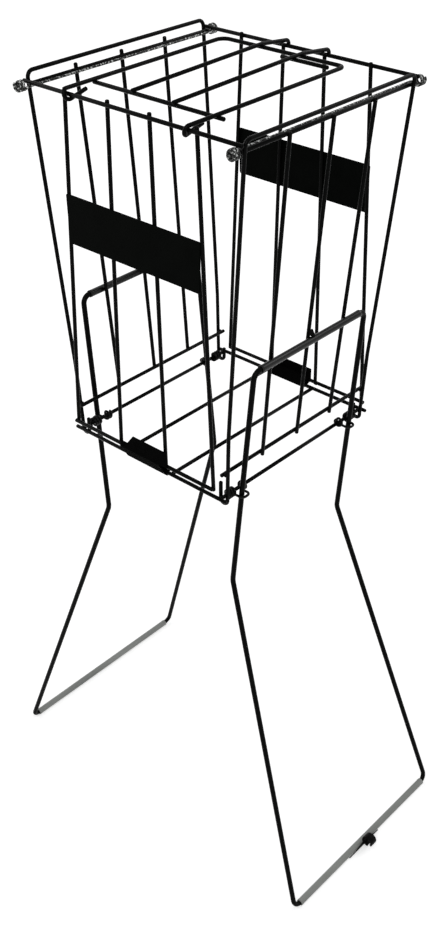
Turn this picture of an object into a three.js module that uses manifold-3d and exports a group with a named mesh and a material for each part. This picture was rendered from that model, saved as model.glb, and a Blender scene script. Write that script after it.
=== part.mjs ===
// Tennis ball hopper: a tapered wire basket with a barred floor that balls are pushed through,
// a wire lid hooked on the front rim, and two leg frames that slide in wound clips on the floor's
// edge wires. Standing, the frames splay out under the basket on grey tubes that double as handles.
// Millimetres, +Z up. The origin is on the ground, midway along the whole's width and length. The
// two plates face -Y and +Y, and the leg frames stand on the -X and +X sides.

import * as THREE from 'three';
import { mergeVertices } from 'three/addons/utils/BufferGeometryUtils.js';
import Module from 'manifold-3d';

const wasm = await Module();
wasm.setup();

const point = (x, y, z) => new THREE.Vector3(x, y, z);
const mix = THREE.MathUtils.lerp;

// Wires, tubes and fits
const BASKET_WIRE = 3.8;
const LEG_WIRE = 5.3;
const TIE_WIRE = 2.4;
const CLIP_WIRE = 2.6;
const SLEEVE_DIAMETER = 7.2;
const GRIP_DIAMETER = 7.5;
const CLEAR = 0.3;
const WELD_DEPTH = 1.1;
const LIGHT_WELD_DEPTH = 0.5;
const WELD_STEP = BASKET_WIRE - WELD_DEPTH;

// How finely round things are made
const ROUND_SIDES = 8;
const TUBE_SIDES = 12;
const FORM_SIDES = 5;
const STEPS_PER_TURN = 8;
const BEND_STEP = Math.PI / 6;
const TIGHT_BEND_SHARE = 0.999;
const ROUNDING_SHARE = 1e-9;
const GAP_POINTS_PER_DIAMETER = 5;

// A wire curled round another wire
const CURL_RADIUS = (BASKET_WIRE + CLEAR) / Math.cos(BEND_STEP / 2);

// Basket floor, and the height from it to the side rims
const GRID_HEIGHT = 475.25;
const GRID_PITCH = 62;
const GRID_WIRES = 4;
const EDGE_WIRE_X = GRID_PITCH * (GRID_WIRES - 1) / 2;
const BASKET_DEPTH = 340.9;
const RIM_HEIGHT = GRID_HEIGHT + BASKET_DEPTH;

// Leaning side panels
const SIDE_RIM_HALF = 123.7;
const SIDE_FLOOR_OVERHANG = 1.4;
const SIDE_FLOOR_HALF = EDGE_WIRE_X + SIDE_FLOOR_OVERHANG;
const LEFT_BAR_RISE = 11.5;
const RIGHT_BAR_RISE = 7.7;
const SIDE_BAR_BEND = 6;
const LEFT_STUB_RISE = 7.1;
const RIGHT_STUB_RISE = -0.2;
const LEFT_RIM_RISE = 1.7;
const RIGHT_RIM_RISE = -2.4;
const SIDE_CROSS_INSET = BASKET_WIRE - LIGHT_WELD_DEPTH;
const SIDE_VERTICAL_INSET = SIDE_CROSS_INSET - WELD_STEP;
const SIDE_VERTICALS = 3;
const SIDE_RIM_PITCH = 56.9;
const SIDE_FOOT_PITCH = 51.1;
const SIDE_FOOT_RISE = 25.7;
const SIDE_FOOT_OVERHANG = 4.25;
const SIDE_STUB_DROP = 3.6;

// Frames of the side panels, with a hook round the edge wire at each foot
const FRAME_RIM_Y = 112;
const FRAME_FLOOR_Y = 102;
const FRAME_BEND_RISE = 68.5;
const FRAME_BEND = 30;
const HOOK_DROP = 7;
const RIGHT_TIP_RISE = 15.5;
const LEFT_TIP_RISE = 11.5;
const FAR_TIP_RISE = 8;
const GRID_CROSS_OVERHANG = 5.9;
const GRID_CROSS_Y = FRAME_FLOOR_Y + GRID_CROSS_OVERHANG;

// Upright front and back panels
const PANEL_RIM_RISE = 4.3;
const PANEL_RIM_HEIGHT = RIM_HEIGHT + PANEL_RIM_RISE;
const PANEL_Y = frameY(PANEL_RIM_HEIGHT) + BASKET_WIRE + CLEAR;
const PANEL_VERTICAL_Y = PANEL_Y - WELD_STEP;
const PANEL_RIM_OVERHANG = 2.3;
const PANEL_RIM_HALF = SIDE_RIM_HALF + PANEL_RIM_OVERHANG;
const PANEL_FOOT_SETBACK = 2.4;
const PANEL_FOOT_HALF = SIDE_FLOOR_HALF - PANEL_FOOT_SETBACK;
const PANEL_STUB_RISE = 3.8;
const FRONT_FOOT_RISE = 14.4;
const FRONT_FOOT_HEIGHT = GRID_HEIGHT + FRONT_FOOT_RISE;
const FRONT_STUB_DROP = 3.4;
const BACK_FOOT_RISE = 2.5;
const BACK_FOOT_HEIGHT = GRID_HEIGHT + BACK_FOOT_RISE;
const BACK_STUB_DROP = 0.5;
const PANEL_INNER_RIM_X = 24.2;
const PANEL_INNER_FOOT_X = 30;
const PANEL_OUTER_RIM_X = 76;
const PANEL_OUTER_FOOT_INSET = 1.8;
const PANEL_OUTER_FOOT_X = PANEL_FOOT_HALF - PANEL_OUTER_FOOT_INSET;

// Tie rods with coiled ends
const TIE_LEAN = Math.PI * 0.078;
const TIE_COIL_RADIUS = 4;
const TIE_COIL_GAP = 0.5;
const TIE_COIL_PITCH = TIE_WIRE + TIE_COIL_GAP;
const TIE_COIL_TURNS = 2.5;
const TIE_BEND = 3;
const TIE_COIL_START = -Math.PI / 4;

// Name plates, left bare
const PLATE_WIDTH = 161;
const PLATE_FOOT_WIDTH = 159;
const PLATE_HEIGHT = 47;
const PLATE_DROP = 86.4;
const PLATE_THICKNESS = 1.2;

// Wraps that bind the floor's cross wires to the panels' feet
const WRAP_THICKNESS = 0.9;
const FRONT_WRAP_LEFT = 26.5;
const FRONT_WRAP_RIGHT = 27;
const FRONT_FLAP_RISE = 17.1;
const FRONT_FLAP_LEFT = 21;
const FRONT_FLAP_TOP_LEFT = 8;
const FRONT_FLAP_RIGHT = 36;
const BACK_WRAP_LEFT = 26;
const BACK_WRAP_RIGHT = 20;
const BACK_FLAP_RISE = 12;

// Lid
const LID_SIDE_SETBACK = 5;
const LID_HALF = PANEL_OUTER_RIM_X - LID_SIDE_SETBACK;
const LID_INNER_X = 23.7;
const LID_FRONT_SETBACK = 33.1;
const LID_FRONT_Y = PANEL_Y - LID_FRONT_SETBACK;
const LID_BACK_SETBACK = 35;
const LID_BACK_Y = PANEL_Y - LID_BACK_SETBACK;
const LID_BACK_RISE = 5.8;
const LID_LEFT_BEND = 9;
const LID_RIGHT_BEND = 6;
const LID_TAIL_LENGTH = 20;
const LID_TAIL_RISE = 0.6;
const LID_CROSS_LEFT_OVERHANG = 2;
const LID_CROSS_RIGHT_OVERHANG = 7;
const LID_SHORT_SETBACK = 46.1;
const LID_SHORT_Y = PANEL_Y - LID_SHORT_SETBACK;
const LID_SHORT_LEFT = 15.7;
const LID_SHORT_RIGHT = 38.3;
const LID_INNER_BEND = 20;
const LID_INNER_OVERHANG = 3;
const LID_HOOK_DROP = 1.4;

// Leg frames
const SLEEVE_RISE = 129.5;
const SLEEVE_HEIGHT = GRID_HEIGHT + SLEEVE_RISE;
const SLEEVE_REACH = BASKET_WIRE / 2 + SLEEVE_DIAMETER / 2 + CLEAR;
const SLEEVE_X = sideX(SLEEVE_HEIGHT) - SIDE_VERTICAL_INSET + SLEEVE_REACH;
const LEG_SLOPE = (SIDE_RIM_HALF - SIDE_FLOOR_HALF) / BASKET_DEPTH;
const KNEE_DROP = 109.9;
const KNEE_HEIGHT = GRID_HEIGHT - KNEE_DROP;
const FLOOR_BAR_X = 212.7;
const FLOOR_BAR_Z = GRIP_DIAMETER / 2;
const SLEEVE_NEAR_SETBACK = 20;
const SLEEVE_NEAR_Y = FRAME_FLOOR_Y - SLEEVE_NEAR_SETBACK;
const SLEEVE_FAR_SETBACK = 23.1;
const SLEEVE_FAR_Y = FRAME_FLOOR_Y - SLEEVE_FAR_SETBACK;
const KNEE_NEAR_SPREAD = 4.3;
const KNEE_NEAR_Y = SLEEVE_NEAR_Y + KNEE_NEAR_SPREAD;
const KNEE_FAR_SPREAD = 2.4;
const KNEE_FAR_Y = SLEEVE_FAR_Y + KNEE_FAR_SPREAD;
const FLOOR_NEAR_SPREAD = 37.8;
const FLOOR_NEAR_Y = KNEE_NEAR_Y + FLOOR_NEAR_SPREAD;
const FLOOR_FAR_SPREAD = 40.1;
const FLOOR_FAR_Y = KNEE_FAR_Y + FLOOR_FAR_SPREAD;
const SLEEVE_BEND = 8;
const KNEE_BEND = 15;
const FLOOR_BEND = 8;
const ROD_BUTT_GAP = 1;
const SLIDE_TRAVEL = 115;

// Wound guide clips
const CLIP_COIL_GAP = 0.7;
const CLIP_PITCH = CLIP_WIRE + CLIP_COIL_GAP;
const CLIP_OUTER_TURNS = 3;
const CLIP_INNER_TURNS = 1.5;
const CLIP_EAR_REACH = 4.7;
const CLIP_EAR_BEND = 4;

// Stop wedges above the sleeves
const WEDGE_WIDTH = 3.8;
const WEDGE_REACH = 5;
const WEDGE_HEIGHT = 6;
const WEDGE_TIP = 0.8;

// Handle clip on the right grip
const HANDLE_CLIP_WALL = 2.8;
const HANDLE_CLIP_LENGTH = 9;
const HANDLE_CLIP_Y = -2.3;
const HANDLE_CLIP_LIFT = Math.PI / 5;
const HANDLE_CLIP_MOUTH = Math.PI / 4;
const HANDLE_CLIP_MOUTH_TURN = -Math.PI / 3;
const HANDLE_ARC_STEPS = 12;
const HANDLE_WING_WALL = 0.9;
const HANDLE_WING_STEPS = 7;
const HANDLE_WING_START = -31;
const HANDLE_WING_END = 22;
const HANDLE_WING_BOTTOM = -Math.PI / 4;
const HANDLE_WING_TOP = Math.PI * 7 / 36;
const HANDLE_WING_TIP = -Math.PI / 6;

// A path that passes exactly through its stations.
class StationPath extends THREE.Curve {
  constructor(stations) {
    super();
    this.stations = stations;
  }

  getPointAt(share) {
    const last = this.stations.length - 1;
    const place = Math.min(share * last, last);
    const index = Math.min(Math.floor(place + ROUNDING_SHARE), last - 1);
    return this.stations[index].clone().lerp(this.stations[index + 1], place - index);
  }

  getPoint(share) {
    return this.getPointAt(share);
  }

  getTangentAt(share) {
    const last = this.stations.length - 1;
    const index = Math.round(share * last);
    const tangent = point(0, 0, 0);
    if (index > 0) {
      tangent.add(this.stations[index].clone().sub(this.stations[index - 1]).normalize());
    }
    if (index < last) {
      tangent.add(this.stations[index + 1].clone().sub(this.stations[index]).normalize());
    }
    return tangent.normalize();
  }
}

// Stations along straight runs between corners, each inner corner rounded by its own radius.
function roundedStations(corners, radii) {
  const stations = [corners[0].clone()];
  for (let i = 1; i < corners.length - 1; i += 1) {
    const corner = corners[i];
    const back = corners[i - 1].clone().sub(corner).normalize();
    const ahead = corners[i + 1].clone().sub(corner).normalize();
    const turn = Math.PI - back.angleTo(ahead);
    const radius = radii[i - 1];
    const setback = radius * Math.tan(turn / 2);
    const middle = back.clone().add(ahead).normalize();
    const centre = corner.clone().addScaledVector(middle, radius / Math.cos(turn / 2));
    const start = corner.clone().addScaledVector(back, setback).sub(centre);
    const end = corner.clone().addScaledVector(ahead, setback).sub(centre);
    const axis = start.clone().cross(end).normalize();
    const steps = Math.max(1, Math.ceil(turn / BEND_STEP));
    for (let k = 0; k <= steps; k += 1) {
      stations.push(start.clone().applyAxisAngle(axis, turn * k / steps).add(centre));
    }
  }
  stations.push(corners[corners.length - 1].clone());
  return stations;
}

// Stations on a helix round a line along Y. It starts below the line, moving along side times X,
// and goes on by advance along Y with each turn.
function helixStations(centre, radius, side, advance, turns, start = 0) {
  const steps = Math.round(turns * STEPS_PER_TURN);
  const stations = [];
  for (let k = 0; k <= steps; k += 1) {
    const turn = k / STEPS_PER_TURN;
    const angle = start + 2 * Math.PI * turn;
    stations.push(point(
      centre.x + side * radius * Math.sin(angle),
      centre.y + advance * turn,
      centre.z - radius * Math.cos(angle),
    ));
  }
  return stations;
}

// Joins lists of stations end to end, without the doubled ones.
function chain(...lists) {
  const stations = [];
  for (const station of lists.flat()) {
    const last = stations[stations.length - 1];
    if (!last || last.distanceTo(station) > CLEAR) stations.push(station);
  }
  return stations;
}

function circlePoints(radius, sides) {
  const points = [];
  for (let k = 0; k < sides; k += 1) {
    const angle = Math.PI * (2 * k + 1) / sides;
    points.push(new THREE.Vector2(radius * Math.cos(angle), radius * Math.sin(angle)));
  }
  return points;
}

// A round wire through its stations.
function wire(stations, diameter, sides = ROUND_SIDES) {
  const section = new THREE.Shape(circlePoints(diameter / 2, sides));
  return new THREE.ExtrudeGeometry(section, {
    steps: stations.length - 1,
    bevelEnabled: false,
    extrudePath: new StationPath(stations),
  });
}

// Keeps positions only, with shared vertices merged.
function bare(geometry) {
  const copy = geometry.clone();
  copy.deleteAttribute('normal');
  copy.deleteAttribute('uv');
  return mergeVertices(copy);
}

function toSolid(geometry) {
  const merged = bare(geometry);
  return new wasm.Manifold(new wasm.Mesh({
    numProp: 3,
    vertProperties: new Float32Array(merged.attributes.position.array),
    triVerts: new Uint32Array(merged.index.array),
  }));
}

function toGeometry(solid) {
  const mesh = solid.getMesh();
  const geometry = new THREE.BufferGeometry();
  geometry.setAttribute('position', new THREE.BufferAttribute(mesh.vertProperties, 3));
  geometry.setIndex(new THREE.BufferAttribute(mesh.triVerts, 1));
  return geometry;
}

// Several geometries joined into one closed body.
function joined(geometries) {
  return toGeometry(geometries.map(toSolid).reduce((whole, piece) => whole.add(piece)));
}

const coatedWire = () => new THREE.MeshStandardMaterial({
  color: 0x0b0c0d, roughness: 0.32, metalness: 0.1,
});
const sleeveRubber = () => new THREE.MeshStandardMaterial({
  color: 0x101112, roughness: 0.22, metalness: 0,
});
const gripFoam = () => new THREE.MeshStandardMaterial({
  color: 0x86898a, roughness: 0.6, metalness: 0,
});
const platePlastic = () => new THREE.MeshStandardMaterial({
  color: 0x090a0a, roughness: 0.4, metalness: 0,
});

const hopper = new THREE.Group();

function place(name, geometry, material, parent = hopper) {
  const mesh = new THREE.Mesh(bare(geometry), material);
  mesh.name = name;
  parent.add(mesh);
  return mesh;
}

// Basket floor: four wires that the balls squeeze between, and a cross wire at each end
function addFloor() {
  const reach = GRID_CROSS_Y - BASKET_WIRE / 2 - CLEAR;
  for (let k = 0; k < GRID_WIRES; k += 1) {
    const x = EDGE_WIRE_X - GRID_PITCH * k;
    const run = [point(x, -reach, GRID_HEIGHT), point(x, reach, GRID_HEIGHT)];
    place(`floor_wire_${k + 1}`, wire(run, BASKET_WIRE), coatedWire());
  }
  const crossReach = EDGE_WIRE_X + 2 * BASKET_WIRE + CLEAR;
  for (const [name, side] of [['front', -1], ['back', 1]]) {
    const y = side * GRID_CROSS_Y;
    const run = [point(-crossReach, y, GRID_HEIGHT), point(crossReach, y, GRID_HEIGHT)];
    place(`floor_cross_${name}`, wire(run, BASKET_WIRE), coatedWire());
  }
}

// Half the width of the leaning side panels at a height
function sideX(height) {
  return mix(SIDE_FLOOR_HALF, SIDE_RIM_HALF, (height - GRID_HEIGHT) / BASKET_DEPTH);
}

// Half the length of the side panels' frames at a height
function frameY(height) {
  return mix(FRAME_FLOOR_Y, FRAME_RIM_Y, (height - GRID_HEIGHT) / BASKET_DEPTH);
}

// One bent wire: a bar over the rim, two legs down to the floor, and at each foot a hook that
// turns inwards round the floor's edge wire
function sideFrame(side, barRise, nearTipRise) {
  const footX = side * (EDGE_WIRE_X + BASKET_WIRE + CLEAR);
  const tipX = side * (EDGE_WIRE_X - BASKET_WIRE - CLEAR);
  const bendHeight = GRID_HEIGHT + FRAME_BEND_RISE;
  const barHeight = RIM_HEIGHT + barRise;
  const half = (end, tipRise) => [
    point(tipX, end * FRAME_FLOOR_Y, GRID_HEIGHT + tipRise),
    point(tipX, end * FRAME_FLOOR_Y, GRID_HEIGHT - HOOK_DROP),
    point(footX, end * FRAME_FLOOR_Y, GRID_HEIGHT - HOOK_DROP),
    point(footX, end * FRAME_FLOOR_Y, GRID_HEIGHT),
    point(side * sideX(bendHeight), end * frameY(bendHeight), bendHeight),
    point(side * sideX(barHeight), end * frameY(barHeight), barHeight),
  ];
  const hookBend = (BASKET_WIRE + CLEAR) * TIGHT_BEND_SHARE;
  const radii = [hookBend, hookBend, FRAME_BEND, FRAME_BEND, SIDE_BAR_BEND];
  const corners = [...half(-1, nearTipRise), ...half(1, FAR_TIP_RISE).reverse()];
  return wire(roundedStations(corners, [...radii, ...[...radii].reverse()]), BASKET_WIRE);
}

function addSidePanel(name, side, rimRise, barRise, stubRise, nearTipRise) {
  const pieces = [sideFrame(side, barRise, nearTipRise)];
  const footHeight = GRID_HEIGHT + SIDE_FOOT_RISE;
  const rimReach = PANEL_Y - BASKET_WIRE / 2 - CLEAR;
  const footReach = frameY(footHeight) + SIDE_FOOT_OVERHANG;
  for (const [height, reach] of [[RIM_HEIGHT + rimRise, rimReach], [footHeight, footReach]]) {
    const x = side * (sideX(height) - SIDE_CROSS_INSET);
    pieces.push(wire([point(x, -reach, height), point(x, reach, height)], BASKET_WIRE));
  }
  for (let k = 0; k < SIDE_VERTICALS; k += 1) {
    const column = k - (SIDE_VERTICALS - 1) / 2;
    const at = (height) => {
      const share = (height - footHeight) / (RIM_HEIGHT - footHeight);
      const y = column * mix(SIDE_FOOT_PITCH, SIDE_RIM_PITCH, share);
      return point(side * (sideX(height) - SIDE_VERTICAL_INSET), y, height);
    };
    const run = [at(footHeight - SIDE_STUB_DROP), at(RIM_HEIGHT + stubRise)];
    pieces.push(wire(run, BASKET_WIRE));
  }
  place(name, joined(pieces), coatedWire());
}

function addEndPanel(name, side, footHeight, stubDrop, innerStubRise) {
  const pieces = [];
  const rims = [[PANEL_RIM_HEIGHT, PANEL_RIM_HALF], [footHeight, PANEL_FOOT_HALF]];
  for (const [height, reach] of rims) {
    const y = side * PANEL_Y;
    pieces.push(wire([point(-reach, y, height), point(reach, y, height)], BASKET_WIRE));
  }
  const verticals = [
    [PANEL_INNER_RIM_X, PANEL_INNER_FOOT_X, innerStubRise],
    [PANEL_OUTER_RIM_X, PANEL_OUTER_FOOT_X, PANEL_STUB_RISE],
  ];
  for (const [rimX, footX, stubRise] of verticals) {
    for (const hand of [-1, 1]) {
      const at = (height) => {
        const share = (height - footHeight) / (PANEL_RIM_HEIGHT - footHeight);
        return point(hand * mix(footX, rimX, share), side * PANEL_VERTICAL_Y, height);
      };
      const run = [at(footHeight - stubDrop), at(PANEL_RIM_HEIGHT + stubRise)];
      pieces.push(wire(run, BASKET_WIRE));
    }
  }
  place(name, joined(pieces), coatedWire());
}

function addPanels() {
  addSidePanel('side_panel_left', -1, LEFT_RIM_RISE, LEFT_BAR_RISE, LEFT_STUB_RISE, LEFT_TIP_RISE);
  addSidePanel('side_panel_right', 1, RIGHT_RIM_RISE, RIGHT_BAR_RISE, RIGHT_STUB_RISE, RIGHT_TIP_RISE);
  addEndPanel('front_panel', -1, FRONT_FOOT_HEIGHT, FRONT_STUB_DROP, PANEL_STUB_RISE);
  // the lid's hooked wires pass right over the back panel's inner wires, which end flush
  addEndPanel('back_panel', 1, BACK_FOOT_HEIGHT, BACK_STUB_DROP, BASKET_WIRE / 2);
}

// A rod inside each side rim wire, under the left one and over the right one, coiled at both
// ends outside the end panels
function tieRodStations(side, rimRise, lean) {
  const rimHeight = RIM_HEIGHT + rimRise;
  const reach = BASKET_WIRE / 2 + TIE_WIRE / 2 + CLEAR;
  const x = side * (sideX(rimHeight) - SIDE_CROSS_INSET - reach * Math.cos(lean));
  const z = rimHeight - reach * Math.sin(lean);
  const coilY = PANEL_Y + BASKET_WIRE / 2 + TIE_WIRE / 2 + CLEAR;
  const out = point(side * Math.cos(TIE_COIL_START), 0, Math.sin(TIE_COIL_START));
  const across = point(-side * Math.sin(TIE_COIL_START), 0, Math.cos(TIE_COIL_START));
  const end = (hand) => {
    const bend = [];
    for (let k = 0; k <= STEPS_PER_TURN / 2; k += 1) {
      const angle = Math.PI * k / STEPS_PER_TURN;
      const along = coilY - TIE_BEND + TIE_BEND * Math.sin(angle);
      bend.push(point(x, hand * along, z).addScaledVector(out, TIE_BEND * (1 - Math.cos(angle))));
    }
    const centre = point(x, hand * coilY, z)
      .addScaledVector(out, TIE_BEND)
      .addScaledVector(across, TIE_COIL_RADIUS);
    const advance = hand * TIE_COIL_PITCH;
    const coil = helixStations(
      centre, TIE_COIL_RADIUS, side, advance, TIE_COIL_TURNS, TIE_COIL_START,
    );
    return chain(bend, coil);
  };
  return chain(end(-1).reverse(), end(1));
}

// A flat outline in X and Z, made a slab that starts at y and is thick towards side times Y
function uprightSlab(outline, y, thickness, side) {
  const corners = outline.map(([x, z]) => new THREE.Vector2(x, z));
  const slab = new THREE.ExtrudeGeometry(new THREE.Shape(corners), {
    depth: thickness,
    bevelEnabled: false,
  });
  slab.rotateX(Math.PI / 2);
  slab.translate(0, side > 0 ? y + thickness : -y, 0);
  return slab;
}

function addPlates() {
  const top = RIM_HEIGHT - PLATE_DROP;
  const bottom = top - PLATE_HEIGHT;
  const outline = [
    [-PLATE_FOOT_WIDTH / 2, bottom],
    [PLATE_FOOT_WIDTH / 2, bottom],
    [PLATE_WIDTH / 2, top],
    [-PLATE_WIDTH / 2, top],
  ];
  const y = PANEL_VERTICAL_Y + BASKET_WIRE / 2 + CLEAR;
  place('front_plate', uprightSlab(outline, y, PLATE_THICKNESS, -1), platePlastic());
  place('back_plate', uprightSlab(outline, y, PLATE_THICKNESS, 1), platePlastic());
}

// Outline of a band that runs round the floor's cross wire and a panel's foot wire
function wrapOutline(radius, footHeight) {
  const lean = Math.atan2(footHeight - GRID_HEIGHT, PANEL_Y - GRID_CROSS_Y);
  const ends = [
    [PANEL_Y, footHeight, lean - Math.PI / 2],
    [GRID_CROSS_Y, GRID_HEIGHT, lean + Math.PI / 2],
  ];
  const points = [];
  for (const [y, z, start] of ends) {
    for (let k = 0; k <= STEPS_PER_TURN; k += 1) {
      const angle = start + Math.PI * k / STEPS_PER_TURN;
      points.push(new THREE.Vector2(y + radius * Math.cos(angle), z + radius * Math.sin(angle)));
    }
  }
  return points;
}

// A band round both wires from -left to right, and a flap that stands up on its outer side
function addWrap(name, side, footHeight, left, right, flap) {
  const inner = (BASKET_WIRE / 2 + CLEAR) / Math.cos(Math.PI / STEPS_PER_TURN / 2);
  const section = new THREE.Shape(wrapOutline(inner + WRAP_THICKNESS, footHeight));
  section.holes.push(new THREE.Path(wrapOutline(inner, footHeight)));
  const band = new THREE.ExtrudeGeometry(section, { depth: left + right, bevelEnabled: false });
  // the outline's own axes become Y and Z, and the band runs along X
  band.applyMatrix4(new THREE.Matrix4().makeBasis(point(0, 1, 0), point(0, 0, 1), point(1, 0, 0)));
  band.translate(side > 0 ? -left : -right, 0, 0);
  if (side < 0) band.rotateZ(Math.PI);
  const outline = [
    [-flap.left, footHeight],
    [flap.right, footHeight],
    [flap.right, footHeight + flap.rise],
    [-flap.topLeft, footHeight + flap.rise],
  ];
  const slab = uprightSlab(outline, PANEL_Y + inner, WRAP_THICKNESS, side);
  place(name, joined([band, slab]), platePlastic());
}

function addWraps() {
  addWrap('floor_wrap_front', -1, FRONT_FOOT_HEIGHT, FRONT_WRAP_LEFT, FRONT_WRAP_RIGHT, {
    left: FRONT_FLAP_LEFT,
    topLeft: FRONT_FLAP_TOP_LEFT,
    right: FRONT_FLAP_RIGHT,
    rise: FRONT_FLAP_RISE,
  });
  addWrap('floor_wrap_back', 1, BACK_FOOT_HEIGHT, BACK_WRAP_LEFT, BACK_WRAP_RIGHT, {
    left: BACK_WRAP_LEFT,
    topLeft: BACK_WRAP_LEFT,
    right: BACK_WRAP_RIGHT,
    rise: BACK_FLAP_RISE,
  });
}

// The turn round the front rim at which a straight wire to a place beyond the rim leaves a curl
function leavingTurn(y, z, hand) {
  return Math.atan2(z, y) + hand * Math.acos(CURL_RADIUS / Math.hypot(y, z));
}

// Height of the lid's side wires at a place along Y
function lidZ(y) {
  const turn = leavingTurn(PANEL_Y + LID_BACK_Y, LID_BACK_RISE, 1);
  const fromY = CURL_RADIUS * Math.cos(turn) - PANEL_Y;
  const rise = mix(CURL_RADIUS * Math.sin(turn), LID_BACK_RISE, (y - fromY) / (LID_BACK_Y - fromY));
  return PANEL_RIM_HEIGHT + rise;
}

// Tail and curl round the front rim wire, up to where the lid's side wire leaves the curl
function lidCurl(side) {
  const first = leavingTurn(LID_TAIL_LENGTH, LID_TAIL_RISE, -1) + 2 * Math.PI;
  const last = leavingTurn(PANEL_Y + LID_BACK_Y, LID_BACK_RISE, 1);
  const tailX = side * (LID_HALF - BASKET_WIRE - CLEAR);
  const tailY = LID_TAIL_LENGTH - PANEL_Y;
  const stations = [point(tailX, tailY, PANEL_RIM_HEIGHT + LID_TAIL_RISE)];
  const steps = Math.ceil((first - last) / BEND_STEP);
  for (let k = 0; k <= steps; k += 1) {
    const share = k / steps;
    const turn = mix(first, last, share);
    stations.push(point(
      mix(tailX, side * LID_HALF, share),
      CURL_RADIUS * Math.cos(turn) - PANEL_Y,
      PANEL_RIM_HEIGHT + CURL_RADIUS * Math.sin(turn),
    ));
  }
  return stations;
}

function addLid() {
  const left = lidCurl(-1);
  const right = lidCurl(1);
  const backHeight = PANEL_RIM_HEIGHT + LID_BACK_RISE;
  const corners = [
    left[left.length - 1],
    point(-LID_HALF, LID_BACK_Y, backHeight),
    point(LID_HALF, LID_BACK_Y, backHeight),
    right[right.length - 1],
  ];
  const back = roundedStations(corners, [LID_LEFT_BEND, LID_RIGHT_BEND]);
  const pieces = [wire(chain(left, back, right.reverse()), BASKET_WIRE)];
  const cross = (y, z, from, to) => wire([point(from, y, z), point(to, y, z)], BASKET_WIRE);
  const frontZ = lidZ(-LID_FRONT_Y);
  pieces.push(cross(-LID_FRONT_Y, frontZ - WELD_STEP,
    -LID_HALF - LID_CROSS_LEFT_OVERHANG, LID_HALF + LID_CROSS_RIGHT_OVERHANG));
  // the inner wires lie on the front cross wire and on the back bar, and hook over the back rim
  const innerZ = (y) => {
    return mix(frontZ, backHeight + WELD_STEP, (y + LID_FRONT_Y) / (LID_BACK_Y + LID_FRONT_Y));
  };
  const frontEnd = -LID_FRONT_Y - LID_INNER_OVERHANG;
  const hookY = PANEL_Y + CURL_RADIUS;
  for (const side of [-1, 1]) {
    const x = side * LID_INNER_X;
    pieces.push(wire(roundedStations([
      point(x, frontEnd, innerZ(frontEnd)),
      point(x, LID_BACK_Y, innerZ(LID_BACK_Y)),
      point(x, hookY, PANEL_RIM_HEIGHT + CURL_RADIUS),
      point(x, hookY, PANEL_RIM_HEIGHT - LID_HOOK_DROP),
    ], [LID_INNER_BEND, CURL_RADIUS]), BASKET_WIRE));
  }
  pieces.push(cross(LID_SHORT_Y, innerZ(LID_SHORT_Y) - WELD_STEP,
    LID_INNER_X - LID_SHORT_LEFT, LID_INNER_X + LID_SHORT_RIGHT));
  place('lid', joined(pieces), coatedWire());
}

// Leg frames. The right one is built here, and the left one is the same turned half round.
function legX(height) {
  return SLEEVE_X - (SLEEVE_HEIGHT - height) * LEG_SLOPE;
}

function legRodStations() {
  const half = (hand, sleeveY, kneeY, floorY) => [
    point(SLEEVE_X, hand * ROD_BUTT_GAP / 2, SLEEVE_HEIGHT),
    point(SLEEVE_X, hand * sleeveY, SLEEVE_HEIGHT),
    point(legX(KNEE_HEIGHT), hand * kneeY, KNEE_HEIGHT),
    point(FLOOR_BAR_X, hand * floorY, FLOOR_BAR_Z),
  ];
  const near = half(-1, SLEEVE_NEAR_Y, KNEE_NEAR_Y, FLOOR_NEAR_Y);
  const far = half(1, SLEEVE_FAR_Y, KNEE_FAR_Y, FLOOR_FAR_Y).reverse();
  const radii = [SLEEVE_BEND, KNEE_BEND, FLOOR_BEND, FLOOR_BEND, KNEE_BEND, SLEEVE_BEND];
  return roundedStations([...near, ...far], radii);
}

// A straight tube along Y, open at both ends
function tube(x, z, from, to, diameter, bore) {
  const boreRadius = bore / 2 / Math.cos(Math.PI / TUBE_SIDES);
  const section = new THREE.Shape(circlePoints(diameter / 2, TUBE_SIDES));
  section.holes.push(new THREE.Path(circlePoints(boreRadius, TUBE_SIDES)));
  const body = new THREE.ExtrudeGeometry(section, { depth: to - from, bevelEnabled: false });
  body.rotateX(Math.PI / 2);
  body.translate(x, to, z);
  return body;
}

function legSpan(hand, height, sleeveY, kneeY) {
  return hand * mix(kneeY, sleeveY, (height - KNEE_HEIGHT) / (SLEEVE_HEIGHT - KNEE_HEIGHT));
}

// One wire: turns round the edge wire, a long ear out round the leg, and more turns
function guideClipStations(hand, sleeveY, kneeY) {
  const atRest = legSpan(hand, GRID_HEIGHT, sleeveY, kneeY);
  const drop = SLIDE_TRAVEL / Math.hypot(1, LEG_SLOPE);
  const slidDown = legSpan(hand, GRID_HEIGHT + drop, sleeveY, kneeY);
  const middle = (atRest + slidDown) / 2;
  const sway = Math.abs(atRest - slidDown) / 2;
  const earHalf = sway + LEG_WIRE / 2 + CLEAR + CLIP_WIRE / 2;
  const radius = (BASKET_WIRE / 2 + CLIP_WIRE / 2 + CLEAR) / Math.cos(Math.PI / STEPS_PER_TURN);
  const coil = (way, turns) => {
    const centre = point(EDGE_WIRE_X, middle + way * earHalf, GRID_HEIGHT);
    return helixStations(centre, radius, -1, way * CLIP_PITCH, turns);
  };
  const low = GRID_HEIGHT - radius;
  const tip = legX(GRID_HEIGHT) + CLIP_EAR_REACH;
  const ear = roundedStations([
    point(EDGE_WIRE_X, middle + hand * earHalf, low),
    point(tip, middle + hand * earHalf, low),
    point(tip, middle - hand * earHalf, low),
    point(EDGE_WIRE_X, middle - hand * earHalf, low),
  ], [CLIP_EAR_BEND, CLIP_EAR_BEND]);
  return chain(coil(hand, CLIP_OUTER_TURNS).reverse(), ear, coil(-hand, CLIP_INNER_TURNS));
}

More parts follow.
